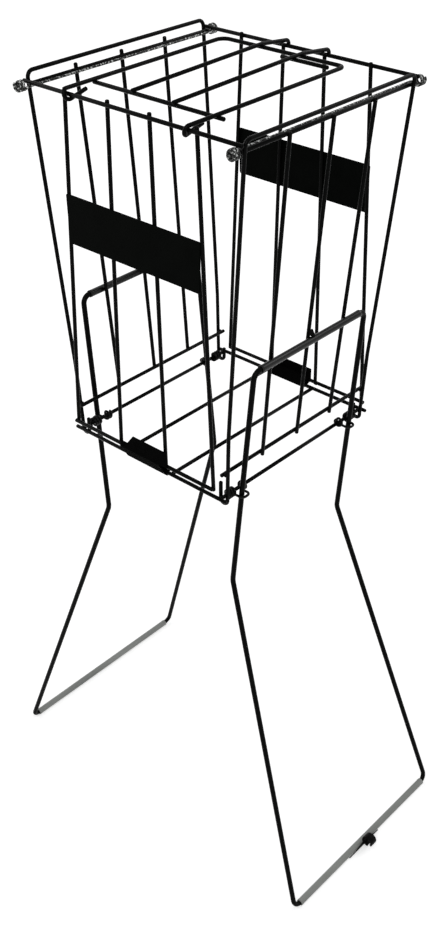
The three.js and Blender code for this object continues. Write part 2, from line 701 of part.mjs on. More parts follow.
// A curved band in X and Z round a centre, made a strip along Y
function curvedStrip(centre, inner, wall, from, to, start, end) {
  const points = [];
  for (const [radius, first, last] of [[inner, from, to], [inner + wall, to, from]]) {
    for (let k = 0; k <= HANDLE_ARC_STEPS; k += 1) {
      const angle = mix(first, last, k / HANDLE_ARC_STEPS);
      points.push(new THREE.Vector2(
        centre.x + radius * Math.cos(angle),
        centre.y + radius * Math.sin(angle),
      ));
    }
  }
  const strip = new THREE.ExtrudeGeometry(new THREE.Shape(points.reverse()), {
    depth: end - start,
    bevelEnabled: false,
  });
  strip.rotateX(Math.PI / 2);
  strip.translate(0, end, 0);
  return strip;
}

// A thin shell on the grip's outer side, tall beside the ring and low at its ends
function handleWing(grip, ringStart, ringEnd) {
  const places = [];
  for (let k = 0; k <= HANDLE_WING_STEPS; k += 1) {
    const share = k / HANDLE_WING_STEPS;
    const top = mix(HANDLE_WING_TIP, HANDLE_WING_TOP, share);
    places.push([mix(HANDLE_WING_START, ringStart, share), top]);
    places.push([mix(HANDLE_WING_END, ringEnd, share), top]);
  }
  places.sort((one, other) => one[0] - other[0]);
  const shell = new THREE.BoxGeometry(1, 1, 1, HANDLE_WING_STEPS, 1, places.length - 1);
  const spots = shell.attributes.position;
  for (let k = 0; k < spots.count; k += 1) {
    const [y, top] = places[Math.round((spots.getZ(k) + 1 / 2) * (places.length - 1))];
    const angle = mix(HANDLE_WING_BOTTOM, top, spots.getX(k) + 1 / 2);
    const radius = GRIP_DIAMETER / 2 + CLEAR + HANDLE_WING_WALL * (spots.getY(k) + 1 / 2);
    spots.setXYZ(k, grip.x + radius * Math.cos(angle), y, grip.y + radius * Math.sin(angle));
  }
  return shell;
}

// A ring, open below, that snaps over the other grip, and the wing that carries it
function handleClip() {
  const arc = 2 * Math.PI - HANDLE_CLIP_MOUTH;
  const inner = (GRIP_DIAMETER / 2 + CLEAR) / Math.cos(arc / HANDLE_ARC_STEPS / 2);
  const apart = GRIP_DIAMETER / 2 + CLEAR + inner + HANDLE_CLIP_WALL;
  const grip = new THREE.Vector2(FLOOR_BAR_X, FLOOR_BAR_Z);
  const lift = new THREE.Vector2(Math.cos(HANDLE_CLIP_LIFT), Math.sin(HANDLE_CLIP_LIFT));
  const ring = grip.clone().addScaledVector(lift, apart);
  const start = HANDLE_CLIP_Y - HANDLE_CLIP_LENGTH / 2;
  const end = HANDLE_CLIP_Y + HANDLE_CLIP_LENGTH / 2;
  const from = HANDLE_CLIP_MOUTH_TURN + HANDLE_CLIP_MOUTH / 2;
  return joined([
    curvedStrip(ring, inner, HANDLE_CLIP_WALL, from, from + arc, start, end),
    handleWing(grip, start, end),
  ]);
}

// A wedge on the middle wire of a side panel, over the sleeve that carries it
function stopWedge() {
  const bottom = SLEEVE_HEIGHT + SLEEVE_DIAMETER / 2 + CLEAR;
  const top = bottom + WEDGE_HEIGHT;
  const face = (height) => sideX(height) - SIDE_VERTICAL_INSET + BASKET_WIRE / 2 + CLEAR;
  const outline = [
    new THREE.Vector2(face(bottom), bottom),
    new THREE.Vector2(face(bottom) + WEDGE_REACH, bottom),
    new THREE.Vector2(face(top) + WEDGE_TIP, top),
    new THREE.Vector2(face(top), top),
  ];
  const wedge = new THREE.ExtrudeGeometry(new THREE.Shape(outline), {
    depth: WEDGE_WIDTH,
    bevelEnabled: false,
  });
  wedge.rotateX(Math.PI / 2);
  wedge.translate(0, WEDGE_WIDTH / 2, 0);
  return wedge;
}

// The least gap between turns of a wire, measured on points along it
function leastSelfGap(stations, diameter) {
  const step = diameter / GAP_POINTS_PER_DIAMETER;
  const points = [];
  let travelled = 0;
  for (let k = 1; k < stations.length; k += 1) {
    const run = stations[k - 1].distanceTo(stations[k]);
    const parts = Math.ceil(run / step);
    for (let j = 0; j < parts; j += 1) {
      const spot = stations[k - 1].clone().lerp(stations[k], j / parts);
      points.push({ spot, along: travelled + run * j / parts });
    }
    travelled += run;
  }
  let least = Infinity;
  for (let a = 0; a < points.length; a += 1) {
    for (let b = a + 1; b < points.length; b += 1) {
      if (points[b].along - points[a].along > Math.PI * diameter) {
        least = Math.min(least, points[a].spot.distanceTo(points[b].spot) - diameter);
      }
    }
  }
  return least;
}

function addForm(name, stations, diameter, parent) {
  console.log(`${name}: least gap between turns ${leastSelfGap(stations, diameter).toFixed(2)} mm`);
  return place(name, wire(stations, diameter, FORM_SIDES), coatedWire(), parent);
}

function addTieRods() {
  const left = tieRodStations(-1, LEFT_RIM_RISE, TIE_LEAN);
  const right = tieRodStations(1, RIGHT_RIM_RISE, -TIE_LEAN);
  addForm('tie_rod_left', left, TIE_WIRE, hopper);
  addForm('tie_rod_right', right, TIE_WIRE, hopper);
}

function addLegSide(name, side) {
  const turned = new THREE.Group();
  turned.rotation.z = side > 0 ? 0 : Math.PI;
  hopper.add(turned);
  place(`leg_rod_${name}`, wire(legRodStations(), LEG_WIRE), coatedWire(), turned);
  const bore = LEG_WIRE + 2 * CLEAR;
  const sleeveStart = -SLEEVE_NEAR_Y + SLEEVE_BEND + CLEAR;
  const sleeveEnd = SLEEVE_FAR_Y - SLEEVE_BEND - CLEAR;
  const sleeve = tube(SLEEVE_X, SLEEVE_HEIGHT, sleeveStart, sleeveEnd, SLEEVE_DIAMETER, bore);
  place(`sleeve_${name}`, sleeve, sleeveRubber(), turned);
  const gripStart = -FLOOR_NEAR_Y + FLOOR_BEND + CLEAR;
  const gripEnd = FLOOR_FAR_Y - FLOOR_BEND - CLEAR;
  const grip = tube(FLOOR_BAR_X, FLOOR_BAR_Z, gripStart, gripEnd, GRIP_DIAMETER, bore);
  place(`grip_${name}`, grip, gripFoam(), turned);
  const clips = [['near', -1, SLEEVE_NEAR_Y, KNEE_NEAR_Y], ['far', 1, SLEEVE_FAR_Y, KNEE_FAR_Y]];
  for (const [end, hand, sleeveY, kneeY] of clips) {
    const stations = guideClipStations(hand, sleeveY, kneeY);
    addForm(`guide_clip_${name}_${end}`, stations, CLIP_WIRE, turned);
  }
  place(`stop_wedge_${name}`, stopWedge(), coatedWire(), turned);
  if (side > 0) place('handle_clip', handleClip(), platePlastic(), turned);
}

addFloor();
addPanels();
addTieRods();
addPlates();
addWraps();
addLid();
addLegSide('right', 1);
addLegSide('left', -1);

// The middle of the whole width goes over the origin.
const whole = new THREE.Box3().setFromObject(hopper);
hopper.position.x = -(whole.min.x + whole.max.x) / 2;
console.log(`moved along X by ${hopper.position.x.toFixed(3)} mm`);

export default hopper;
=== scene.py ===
import math

import bmesh
import bpy
from mathutils import Matrix, Vector


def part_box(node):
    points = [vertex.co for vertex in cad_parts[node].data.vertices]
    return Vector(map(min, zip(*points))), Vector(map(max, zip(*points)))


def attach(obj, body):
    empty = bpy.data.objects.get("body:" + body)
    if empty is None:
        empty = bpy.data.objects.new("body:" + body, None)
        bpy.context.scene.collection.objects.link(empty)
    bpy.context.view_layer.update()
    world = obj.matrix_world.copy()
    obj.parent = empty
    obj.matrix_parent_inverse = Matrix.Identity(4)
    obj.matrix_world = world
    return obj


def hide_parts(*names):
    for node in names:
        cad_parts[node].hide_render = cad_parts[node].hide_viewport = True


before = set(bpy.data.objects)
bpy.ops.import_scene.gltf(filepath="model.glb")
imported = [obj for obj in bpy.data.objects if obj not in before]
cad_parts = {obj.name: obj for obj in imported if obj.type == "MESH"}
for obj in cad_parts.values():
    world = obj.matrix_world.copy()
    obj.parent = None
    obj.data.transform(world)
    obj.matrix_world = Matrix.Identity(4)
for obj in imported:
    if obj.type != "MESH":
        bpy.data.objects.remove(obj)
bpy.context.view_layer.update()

# Real sizes, in metres, as on the solids
MM = 0.001

# Wires, tubes and fits
BASKET_WIRE = 3.8 * MM
LEG_WIRE = 5.3 * MM
TIE_WIRE = 2.4 * MM
CLIP_WIRE = 2.6 * MM
SLEEVE_DIAMETER = 7.2 * MM
GRIP_DIAMETER = 7.5 * MM
CLEAR = 0.3 * MM
WELD_DEPTH = 1.1 * MM
LIGHT_WELD_DEPTH = 0.5 * MM
WELD_STEP = BASKET_WIRE - WELD_DEPTH
TIGHT_BEND_SHARE = 0.999

# A wire curled round another wire
CURL_RADIUS = (BASKET_WIRE + CLEAR) / math.cos(math.pi / 12)

# Basket floor, and the height from it to the side rims
GRID_HEIGHT = 475.25 * MM
GRID_PITCH = 62 * MM
GRID_WIRES = 4
EDGE_WIRE_X = GRID_PITCH * (GRID_WIRES - 1) / 2
BASKET_DEPTH = 340.9 * MM
RIM_HEIGHT = GRID_HEIGHT + BASKET_DEPTH

# Leaning side panels
SIDE_RIM_HALF = 123.7 * MM
SIDE_FLOOR_OVERHANG = 1.4 * MM
SIDE_FLOOR_HALF = EDGE_WIRE_X + SIDE_FLOOR_OVERHANG
LEFT_BAR_RISE = 11.5 * MM
RIGHT_BAR_RISE = 7.7 * MM
SIDE_BAR_BEND = 6 * MM
LEFT_STUB_RISE = 7.1 * MM
RIGHT_STUB_RISE = -0.2 * MM
LEFT_RIM_RISE = 1.7 * MM
RIGHT_RIM_RISE = -2.4 * MM
SIDE_CROSS_INSET = BASKET_WIRE - LIGHT_WELD_DEPTH
SIDE_VERTICAL_INSET = SIDE_CROSS_INSET - WELD_STEP
SIDE_VERTICALS = 3
SIDE_RIM_PITCH = 56.9 * MM
SIDE_FOOT_PITCH = 51.1 * MM
SIDE_FOOT_RISE = 25.7 * MM
SIDE_FOOT_OVERHANG = 4.25 * MM
SIDE_STUB_DROP = 3.6 * MM

# Frames of the side panels, with a hook round the edge wire at each foot
FRAME_RIM_Y = 112 * MM
FRAME_FLOOR_Y = 102 * MM
FRAME_BEND_RISE = 68.5 * MM
FRAME_BEND = 30 * MM
HOOK_DROP = 7 * MM
RIGHT_TIP_RISE = 15.5 * MM
LEFT_TIP_RISE = 11.5 * MM
FAR_TIP_RISE = 8 * MM
GRID_CROSS_OVERHANG = 5.9 * MM
GRID_CROSS_Y = FRAME_FLOOR_Y + GRID_CROSS_OVERHANG

# Upright front and back panels
PANEL_RIM_RISE = 4.3 * MM
PANEL_RIM_HEIGHT = RIM_HEIGHT + PANEL_RIM_RISE
PANEL_RIM_OVERHANG = 2.3 * MM
PANEL_RIM_HALF = SIDE_RIM_HALF + PANEL_RIM_OVERHANG
PANEL_FOOT_SETBACK = 2.4 * MM
PANEL_FOOT_HALF = SIDE_FLOOR_HALF - PANEL_FOOT_SETBACK
PANEL_STUB_RISE = 3.8 * MM
FRONT_FOOT_RISE = 14.4 * MM
FRONT_FOOT_HEIGHT = GRID_HEIGHT + FRONT_FOOT_RISE
FRONT_STUB_DROP = 3.4 * MM
BACK_FOOT_RISE = 2.5 * MM
BACK_FOOT_HEIGHT = GRID_HEIGHT + BACK_FOOT_RISE
BACK_STUB_DROP = 0.5 * MM
PANEL_INNER_RIM_X = 24.2 * MM
PANEL_INNER_FOOT_X = 30 * MM
PANEL_OUTER_RIM_X = 76 * MM
PANEL_OUTER_FOOT_INSET = 1.8 * MM
PANEL_OUTER_FOOT_X = PANEL_FOOT_HALF - PANEL_OUTER_FOOT_INSET

# Tie rods with coiled ends
TIE_LEAN = math.pi * 0.078
TIE_COIL_RADIUS = 4 * MM
TIE_COIL_GAP = 0.5 * MM
TIE_COIL_PITCH = TIE_WIRE + TIE_COIL_GAP
TIE_COIL_TURNS = 2.5
TIE_BEND = 3 * MM
TIE_COIL_START = -math.pi / 4

# Plates of the front and back panels
PLATE_WIDTH = 161 * MM
PLATE_FOOT_WIDTH = 159 * MM
PLATE_HEIGHT = 47 * MM
PLATE_DROP = 86.4 * MM
PLATE_THICKNESS = 1.2 * MM
PLATE_CORNER = 2 * MM
PLATE_EDGE = 0.25 * MM

# Wraps that bind the floor's cross wires to the panels' feet
WRAP_THICKNESS = 0.9 * MM
FRONT_WRAP_LEFT = 26.5 * MM
FRONT_WRAP_RIGHT = 27 * MM
FRONT_FLAP_RISE = 17.1 * MM
FRONT_FLAP_LEFT = 21 * MM
FRONT_FLAP_TOP_LEFT = 8 * MM
FRONT_FLAP_RIGHT = 36 * MM
BACK_WRAP_LEFT = 26 * MM
BACK_WRAP_RIGHT = 20 * MM
BACK_FLAP_RISE = 12 * MM
FLAP_EDGE = 0.2 * MM
WRAP_TOOTH = 1.2 * MM

# Lid
LID_SIDE_SETBACK = 5 * MM
LID_HALF = PANEL_OUTER_RIM_X - LID_SIDE_SETBACK
LID_INNER_X = 23.7 * MM
LID_FRONT_SETBACK = 33.1 * MM
LID_BACK_SETBACK = 35 * MM
LID_BACK_RISE = 5.8 * MM
LID_LEFT_BEND = 9 * MM
LID_RIGHT_BEND = 6 * MM
LID_TAIL_LENGTH = 20 * MM
LID_TAIL_RISE = 0.6 * MM
LID_CROSS_LEFT_OVERHANG = 2 * MM
LID_CROSS_RIGHT_OVERHANG = 7 * MM
LID_SHORT_SETBACK = 46.1 * MM
LID_SHORT_LEFT = 15.7 * MM
LID_SHORT_RIGHT = 38.3 * MM
LID_INNER_BEND = 20 * MM
LID_INNER_OVERHANG = 3 * MM
LID_HOOK_DROP = 1.4 * MM

# Leg frames
SLEEVE_RISE = 129.5 * MM
SLEEVE_HEIGHT = GRID_HEIGHT + SLEEVE_RISE
KNEE_DROP = 109.9 * MM
KNEE_HEIGHT = GRID_HEIGHT - KNEE_DROP
FLOOR_BAR_X = 212.7 * MM
SLEEVE_NEAR_SETBACK = 20 * MM
SLEEVE_NEAR_Y = FRAME_FLOOR_Y - SLEEVE_NEAR_SETBACK
SLEEVE_FAR_SETBACK = 23.1 * MM
SLEEVE_FAR_Y = FRAME_FLOOR_Y - SLEEVE_FAR_SETBACK
KNEE_NEAR_SPREAD = 4.3 * MM
KNEE_NEAR_Y = SLEEVE_NEAR_Y + KNEE_NEAR_SPREAD
KNEE_FAR_SPREAD = 2.4 * MM
KNEE_FAR_Y = SLEEVE_FAR_Y + KNEE_FAR_SPREAD
FLOOR_NEAR_SPREAD = 37.8 * MM
FLOOR_NEAR_Y = KNEE_NEAR_Y + FLOOR_NEAR_SPREAD
FLOOR_FAR_SPREAD = 40.1 * MM
FLOOR_FAR_Y = KNEE_FAR_Y + FLOOR_FAR_SPREAD
SLEEVE_BEND = 8 * MM
KNEE_BEND = 15 * MM
FLOOR_BEND = 8 * MM
ROD_BUTT_GAP = 1 * MM
SLIDE_TRAVEL = 115 * MM

# Wound guide clips
CLIP_COIL_GAP = 0.7 * MM
CLIP_PITCH = CLIP_WIRE + CLIP_COIL_GAP
CLIP_OUTER_TURNS = 3
CLIP_INNER_TURNS = 1.5
CLIP_EAR_REACH = 4.7 * MM
CLIP_EAR_BEND = 4 * MM
CLIP_SLACK = 1 / math.cos(math.pi / 8)

# Stop wedges above the sleeves
WEDGE_WIDTH = 3.8 * MM
WEDGE_REACH = 5 * MM
WEDGE_HEIGHT = 6 * MM
WEDGE_TIP = 0.8 * MM
WEDGE_EDGE = 0.4 * MM

# Handle clip on the right grip
HANDLE_CLIP_WALL = 2.8 * MM
HANDLE_CLIP_LENGTH = 9 * MM
HANDLE_CLIP_Y = -2.3 * MM
HANDLE_CLIP_LIFT = math.pi / 5
HANDLE_CLIP_MOUTH = math.pi / 4
HANDLE_CLIP_MOUTH_TURN = -math.pi / 3
HANDLE_WING_WALL = 0.9 * MM
HANDLE_WING_STEPS = 7
HANDLE_WING_START = -31 * MM
HANDLE_WING_END = 22 * MM
HANDLE_WING_BOTTOM = -math.pi / 4
HANDLE_WING_TOP = math.pi * 7 / 36
HANDLE_WING_TIP = -math.pi / 6
HANDLE_ARC_STEPS = 20
HANDLE_RING_EDGE = 0.6 * MM
HANDLE_WING_EDGE = 0.2 * MM
HANDLE_WING_EDGE_ANGLE = 50

# Lips of the sleeves and grips: their length, how round they are, and the thinner wall between
TUBE_LIP = 2.5 * MM
LIP_ROUND_SHARE = 0.45
LIP_SHOULDER_SHARE = 0.4
LIP_CROWN_SHARE = 0.3
LIP_FALL_SHARE = 1.4
TUBE_WAIST_SHARE = 0.18

# Fineness of the round pieces, and the forms of wire ends and welds
WIRE_SIDES = 18
LEG_SIDES = 22
CLIP_SIDES = 14
TUBE_SIDES = 40
BEND_STEP = math.radians(9)
TURN_STEPS = 36
TIE_BEND_STEPS = 8
WRAP_END_STEPS = 14
WRAP_STOPS = 24
BEVEL_SEGMENTS = 3
BEVEL_ANGLE = 30
DOME_RINGS = 4
DOME_DEPTH_SHARE = 0.6
DOME_TIP_SHARE = 0.12
BEAD_ROWS = 6
BEAD_SPREAD_SHARE = 1.15

# Floor. Its glow makes it white for the camera and rises between two distances from the middle
FLOOR_REACH = 14
FLOOR_COLOR = (0.9, 0.9, 0.9, 1)
FLOOR_ROUGHNESS = 0.95
FLOOR_SPECULAR = 0.1
GLOW_START = 0.45
GLOW_END = 2.6
GLOW_LOW = 0.47
GLOW_HIGH = 0.66

# World, and lamps as name, place, size and power
WORLD_LIGHT = 0.4
WORLD_WHITE = 1
LAMP_TARGET = (0, 0, 0.5)
LAMPS = (
    ("key", (1.2, -1.9, 2.6), (1.4, 1.4), 26),
    ("fill", (-2.2, -1.0, 1.6), (1.6, 1.6), 14),
    ("back", (0.6, 2.4, 2.2), (1.6, 1.0), 16),
)

# The photograph's camera, from the basket's middle plane: its place, what it looks at, its roll
# and its lens
CAMERA_PLACE = Vector((0.7241, -0.8080, 1.14625))
CAMERA_TARGET = Vector((0.0073, -0.0124, 0.42985))
CAMERA_ROLL = math.radians(-0.26)
CAMERA_SENSOR = 36
CAMERA_LENS = 48.69


def add_camera():
    data = bpy.data.cameras.new("camera")
    data.sensor_fit = "VERTICAL"
    data.sensor_height = CAMERA_SENSOR
    data.lens = CAMERA_LENS
    data.dof.use_dof = False
    camera = bpy.data.objects.new("camera", data)
    bpy.context.scene.collection.objects.link(camera)
    ahead = (CAMERA_TARGET - CAMERA_PLACE).normalized()
    right = ahead.cross(Vector((0, 0, 1))).normalized()
    up = right.cross(ahead)
    turned_right = right * math.cos(CAMERA_ROLL) + up * math.sin(CAMERA_ROLL)
    turned_up = up * math.cos(CAMERA_ROLL) - right * math.sin(CAMERA_ROLL)
    axes = Matrix((turned_right, turned_up, -ahead)).transposed()
    place = CAMERA_PLACE + Vector((BASKET_X, 0, 0))
    camera.matrix_world = Matrix.Translation(place) @ axes.to_4x4()
    bpy.context.scene.camera = camera


# Node materials

class Shader:
    """A material's node tree, with short ways to add what every finish here needs."""

    def __init__(self, name, color, roughness, **sockets):
        self.material = bpy.data.materials.new(name)
        self.material.use_nodes = True
        self.tree = self.material.node_tree
        self.principled = self.tree.nodes["Principled BSDF"]
        self.principled.inputs["Base Color"].default_value = (*color, 1)
        self.principled.inputs["Roughness"].default_value = roughness
        for socket, value in sockets.items():
            self.principled.inputs[socket.replace("_", " ")].default_value = value
        self.place = self.tree.nodes.new("ShaderNodeTexCoord").outputs["Object"]
        self.normal = None

    def link(self, source, target):
        self.tree.links.new(source, target)

    def noise(self, scale, detail=3, stretch=(1, 1, 1)):
        mapping = self.tree.nodes.new("ShaderNodeMapping")
        mapping.inputs["Scale"].default_value = stretch
        self.link(self.place, mapping.inputs["Vector"])
        noise = self.tree.nodes.new("ShaderNodeTexNoise")
        noise.inputs["Scale"].default_value = scale
        noise.inputs["Detail"].default_value = detail
        self.link(mapping.outputs["Vector"], noise.inputs["Vector"])
        return noise.outputs["Fac"]

    def spread(self, value, low, high, start=0.3, end=0.7):
        """Maps start..end of a texture to low..high, held at both ends."""
        node = self.tree.nodes.new("ShaderNodeMapRange")
        node.inputs["From Min"].default_value = start
        node.inputs["From Max"].default_value = end
        node.inputs["To Min"].default_value = low
        node.inputs["To Max"].default_value = high
        self.link(value, node.inputs["Value"])
        return node.outputs["Result"]

    def combine(self, operation, first, second=0.0):
        """Does arithmetic on numbers or sockets, by the name of the operation."""
        node = self.tree.nodes.new("ShaderNodeMath")
        node.operation = operation
        for socket, value in zip(node.inputs, (first, second)):
            if isinstance(value, (int, float)):
                socket.default_value = value
            else:
                self.link(value, socket)
        return node.outputs["Value"]

    def bump(self, height, distance, strength=1.0):
        node = self.tree.nodes.new("ShaderNodeBump")
        node.inputs["Strength"].default_value = strength
        node.inputs["Distance"].default_value = distance
        self.link(height, node.inputs["Height"])
        if self.normal:
            self.link(self.normal, node.inputs["Normal"])
        self.normal = node.outputs["Normal"]
        self.link(self.normal, self.principled.inputs["Normal"])

    def tint(self, factor, first, second):
        """Base colour between two colours by a factor."""
        node = self.tree.nodes.new("ShaderNodeMix")
        node.data_type = "RGBA"
        node.inputs["A"].default_value = (*first, 1)
        node.inputs["B"].default_value = (*second, 1)
        self.link(factor, node.inputs["Factor"])
        self.link(node.outputs["Result"], self.principled.inputs["Base Color"])

    def rough(self, value):
        self.link(value, self.principled.inputs["Roughness"])


def coated_wire_material():
    """Thick black dip coating: orange peel, slow runs along the wire and a few dull scuffs."""
    black = (0.0012, 0.0013, 0.0012)
    scuffed = (0.006, 0.0062, 0.006)
    shader = Shader("black_coating", black, 0.24, Specular_IOR_Level=0.035)
    peel = shader.noise(1500, 2)
    runs = shader.noise(160, 3, (1, 1, 0.35))
    scuffs = shader.noise(70, 6)
    shader.tint(shader.spread(scuffs, 0, 1, start=0.6, end=0.74), black, scuffed)
    shader.rough(shader.spread(scuffs, 0.2, 0.42, start=0.35, end=0.72))
    shader.bump(runs, 0.12 * MM, 0.6)
    shader.bump(peel, 0.03 * MM, 0.5)
    return shader.material


def tie_steel_material():
    """Blued spring steel: dark, but brighter in the lamps than the coated wire, with bright patches
    that are partly rubbed bare steel and partly painted highlights.
    """
    shader = Shader("tie_steel", (0.012, 0.0125, 0.012), 0.22, Metallic=0.7)
    rubbed = shader.noise(500, 4)
    dark = (0.006, 0.0065, 0.006)
    bare_and_glint = (0.42, 0.43, 0.42)
    # Bright patches: partly rubbed bare steel, partly painted highlight standing in for glints on
    # the coils
    shader.tint(shader.spread(rubbed, 0, 1, start=0.53, end=0.61), dark, bare_and_glint)
    shader.rough(shader.spread(rubbed, 0.2, 0.38, start=0.35, end=0.65))
    shader.bump(shader.noise(1800, 2), 0.02 * MM, 0.5)
    return shader.material


def clip_wire_material():
    """Spring wire under a thin black finish, rubbed on the turns."""
    black = (0.002, 0.002, 0.002)
    worn = (0.014, 0.0145, 0.014)
    shader = Shader("clip_wire", black, 0.3, Metallic=0.3, Specular_IOR_Level=0.08)
    rubbed = shader.noise(420, 4)
    shader.tint(shader.spread(rubbed, 0, 1, start=0.56, end=0.7), black, worn)
    shader.rough(shader.spread(rubbed, 0.24, 0.42, start=0.35, end=0.65))
    shader.bump(shader.noise(1800, 2), 0.02 * MM, 0.5)
    return shader.material


def sleeve_material():
    """Glossy black vinyl tube, faintly ribbed round its girth where it was pushed on."""
    shader = Shader("sleeve_vinyl", (0.0022, 0.0025, 0.0022), 0.2, Specular_IOR_Level=0.2)
    rings = shader.noise(90, 3, (0.2, 4, 0.2))
    smears = shader.noise(60, 5, (2, 0.5, 2))
    shader.rough(shader.spread(smears, 0.18, 0.34, start=0.35, end=0.65))
    shader.bump(rings, 0.1 * MM, 0.5)
    shader.bump(shader.noise(1600, 2), 0.02 * MM, 0.4)
    return shader.material


def grip_material():
    """Mid grey vinyl tube, fine pebble, a little dirt."""
    shader = Shader("grip_grey", (0.25, 0.262, 0.25), 0.55, Specular_IOR_Level=0.35)
    cloud = shader.noise(55, 6, (1, 0.3, 1))
    pale = (0.285, 0.295, 0.282)
    dirty = (0.205, 0.214, 0.203)
    shader.tint(shader.spread(cloud, 0, 1, start=0.32, end=0.7), pale, dirty)
    shader.rough(shader.spread(cloud, 0.46, 0.64))
    shader.bump(shader.noise(900, 3), 0.06 * MM, 0.5)
    shader.bump(shader.noise(120, 2, (1, 3, 1)), 0.12 * MM, 0.4)
    return shader.material


def plate_material():
    """Black sheet with a fine leather-like grain."""
    shader = Shader("plate_black", (0.0013, 0.0016, 0.0013), 0.42, Specular_IOR_Level=0.008)
    grain = shader.noise(1300, 4)
    haze = shader.noise(35, 5)
    shader.rough(shader.spread(haze, 0.36, 0.52))
    deep = (0.001, 0.0013, 0.001)
    hazy = (0.0022, 0.0026, 0.0022)
    shader.tint(shader.spread(haze, 0, 1), deep, hazy)
    shader.bump(grain, 0.04 * MM, 0.6)
    return shader.material


def wrap_material():
    """Black woven tape: crossed threads and a soft nap."""
    shader = Shader("wrap_weave", (0.001, 0.001, 0.001), 0.8, Specular_IOR_Level=0.008)
    separate = shader.tree.nodes.new("ShaderNodeSeparateXYZ")
    shader.link(shader.place, separate.inputs["Vector"])
    pitch = 0.9 * MM
    thread = 2 * math.pi / pitch
    across = shader.combine("SINE", shader.combine("MULTIPLY", separate.outputs["X"], thread))
    up = shader.combine("SINE", shader.combine("MULTIPLY", separate.outputs["Z"], thread))
    shader.bump(shader.combine("MULTIPLY", across, up), 0.12 * MM, 0.6)
    nap = shader.noise(1400, 3)
    deep = (0.0006, 0.0006, 0.0006)
    fluffed = (0.0028, 0.0028, 0.0028)
    shader.tint(shader.spread(nap, 0, 1), deep, fluffed)
    shader.rough(shader.spread(nap, 0.7, 0.95))
    return shader.material


def moulded_material():
    """Moulded black plastic with a light spark texture."""
    shader = Shader("moulded_black", (0.0016, 0.0016, 0.0016), 0.38, Specular_IOR_Level=0.04)
    spark = shader.noise(1100, 3)
    shader.rough(shader.spread(spark, 0.32, 0.5))
    clouds = shader.noise(150, 4)
    deep = (0.0012, 0.0012, 0.0012)
    faded = (0.0032, 0.0032, 0.0032)
    shader.tint(shader.spread(clouds, 0, 1), deep, faded)
    shader.bump(spark, 0.03 * MM, 0.5)
    return shader.material


COATING = coated_wire_material()
TIE_STEEL = tie_steel_material()
CLIP_STEEL = clip_wire_material()
SLEEVE_VINYL = sleeve_material()
GRIP_GREY = grip_material()
PLATE_BLACK = plate_material()
WRAP_WEAVE = wrap_material()
MOULDED = moulded_material()


# Paths

def mix(a, b, share):
    return a + (b - a) * share


def rounded(corners, radii):
    """Points along straight runs between corners, each inner corner rounded by its own radius."""
    corners = [Vector(corner) for corner in corners]
    points = [corners[0]]
    for before, corner, after, radius in zip(corners, corners[1:], corners[2:], radii):
        back = (before - corner).normalized()
        ahead = (after - corner).normalized()
        turn = math.pi - back.angle(ahead)
        setback = radius * math.tan(turn / 2)
        centre = corner + (back + ahead).normalized() * radius / math.cos(turn / 2)
        start = corner + back * setback - centre
        end = corner + ahead * setback - centre
        axis = start.cross(end).normalized()
        steps = max(2, math.ceil(turn / BEND_STEP))
        for k in range(steps + 1):
            points.append(centre + Matrix.Rotation(turn * k / steps, 3, axis) @ start)
    return points + [corners[-1]]


def helix(centre, radius, side, advance, turns, start=0):
    """Points round a line along Y, from a start angle past its lowest place."""
    steps = round(turns * TURN_STEPS)
    points = []
    for k in range(steps + 1):
        turn = k / TURN_STEPS
        angle = start + 2 * math.pi * turn
        points.append(Vector((
            centre[0] + side * radius * math.sin(angle),
            centre[1] + advance * turn,
            centre[2] - radius * math.cos(angle),
        )))
    return points


def chain(*lists):
    """Lists of points joined end to end, without the doubled ones."""
    points = []
    for run in lists:
        for spot in run:
            if not points or (points[-1] - spot).length > CLEAR / 10:
                points.append(spot)
    return points


# Meshes

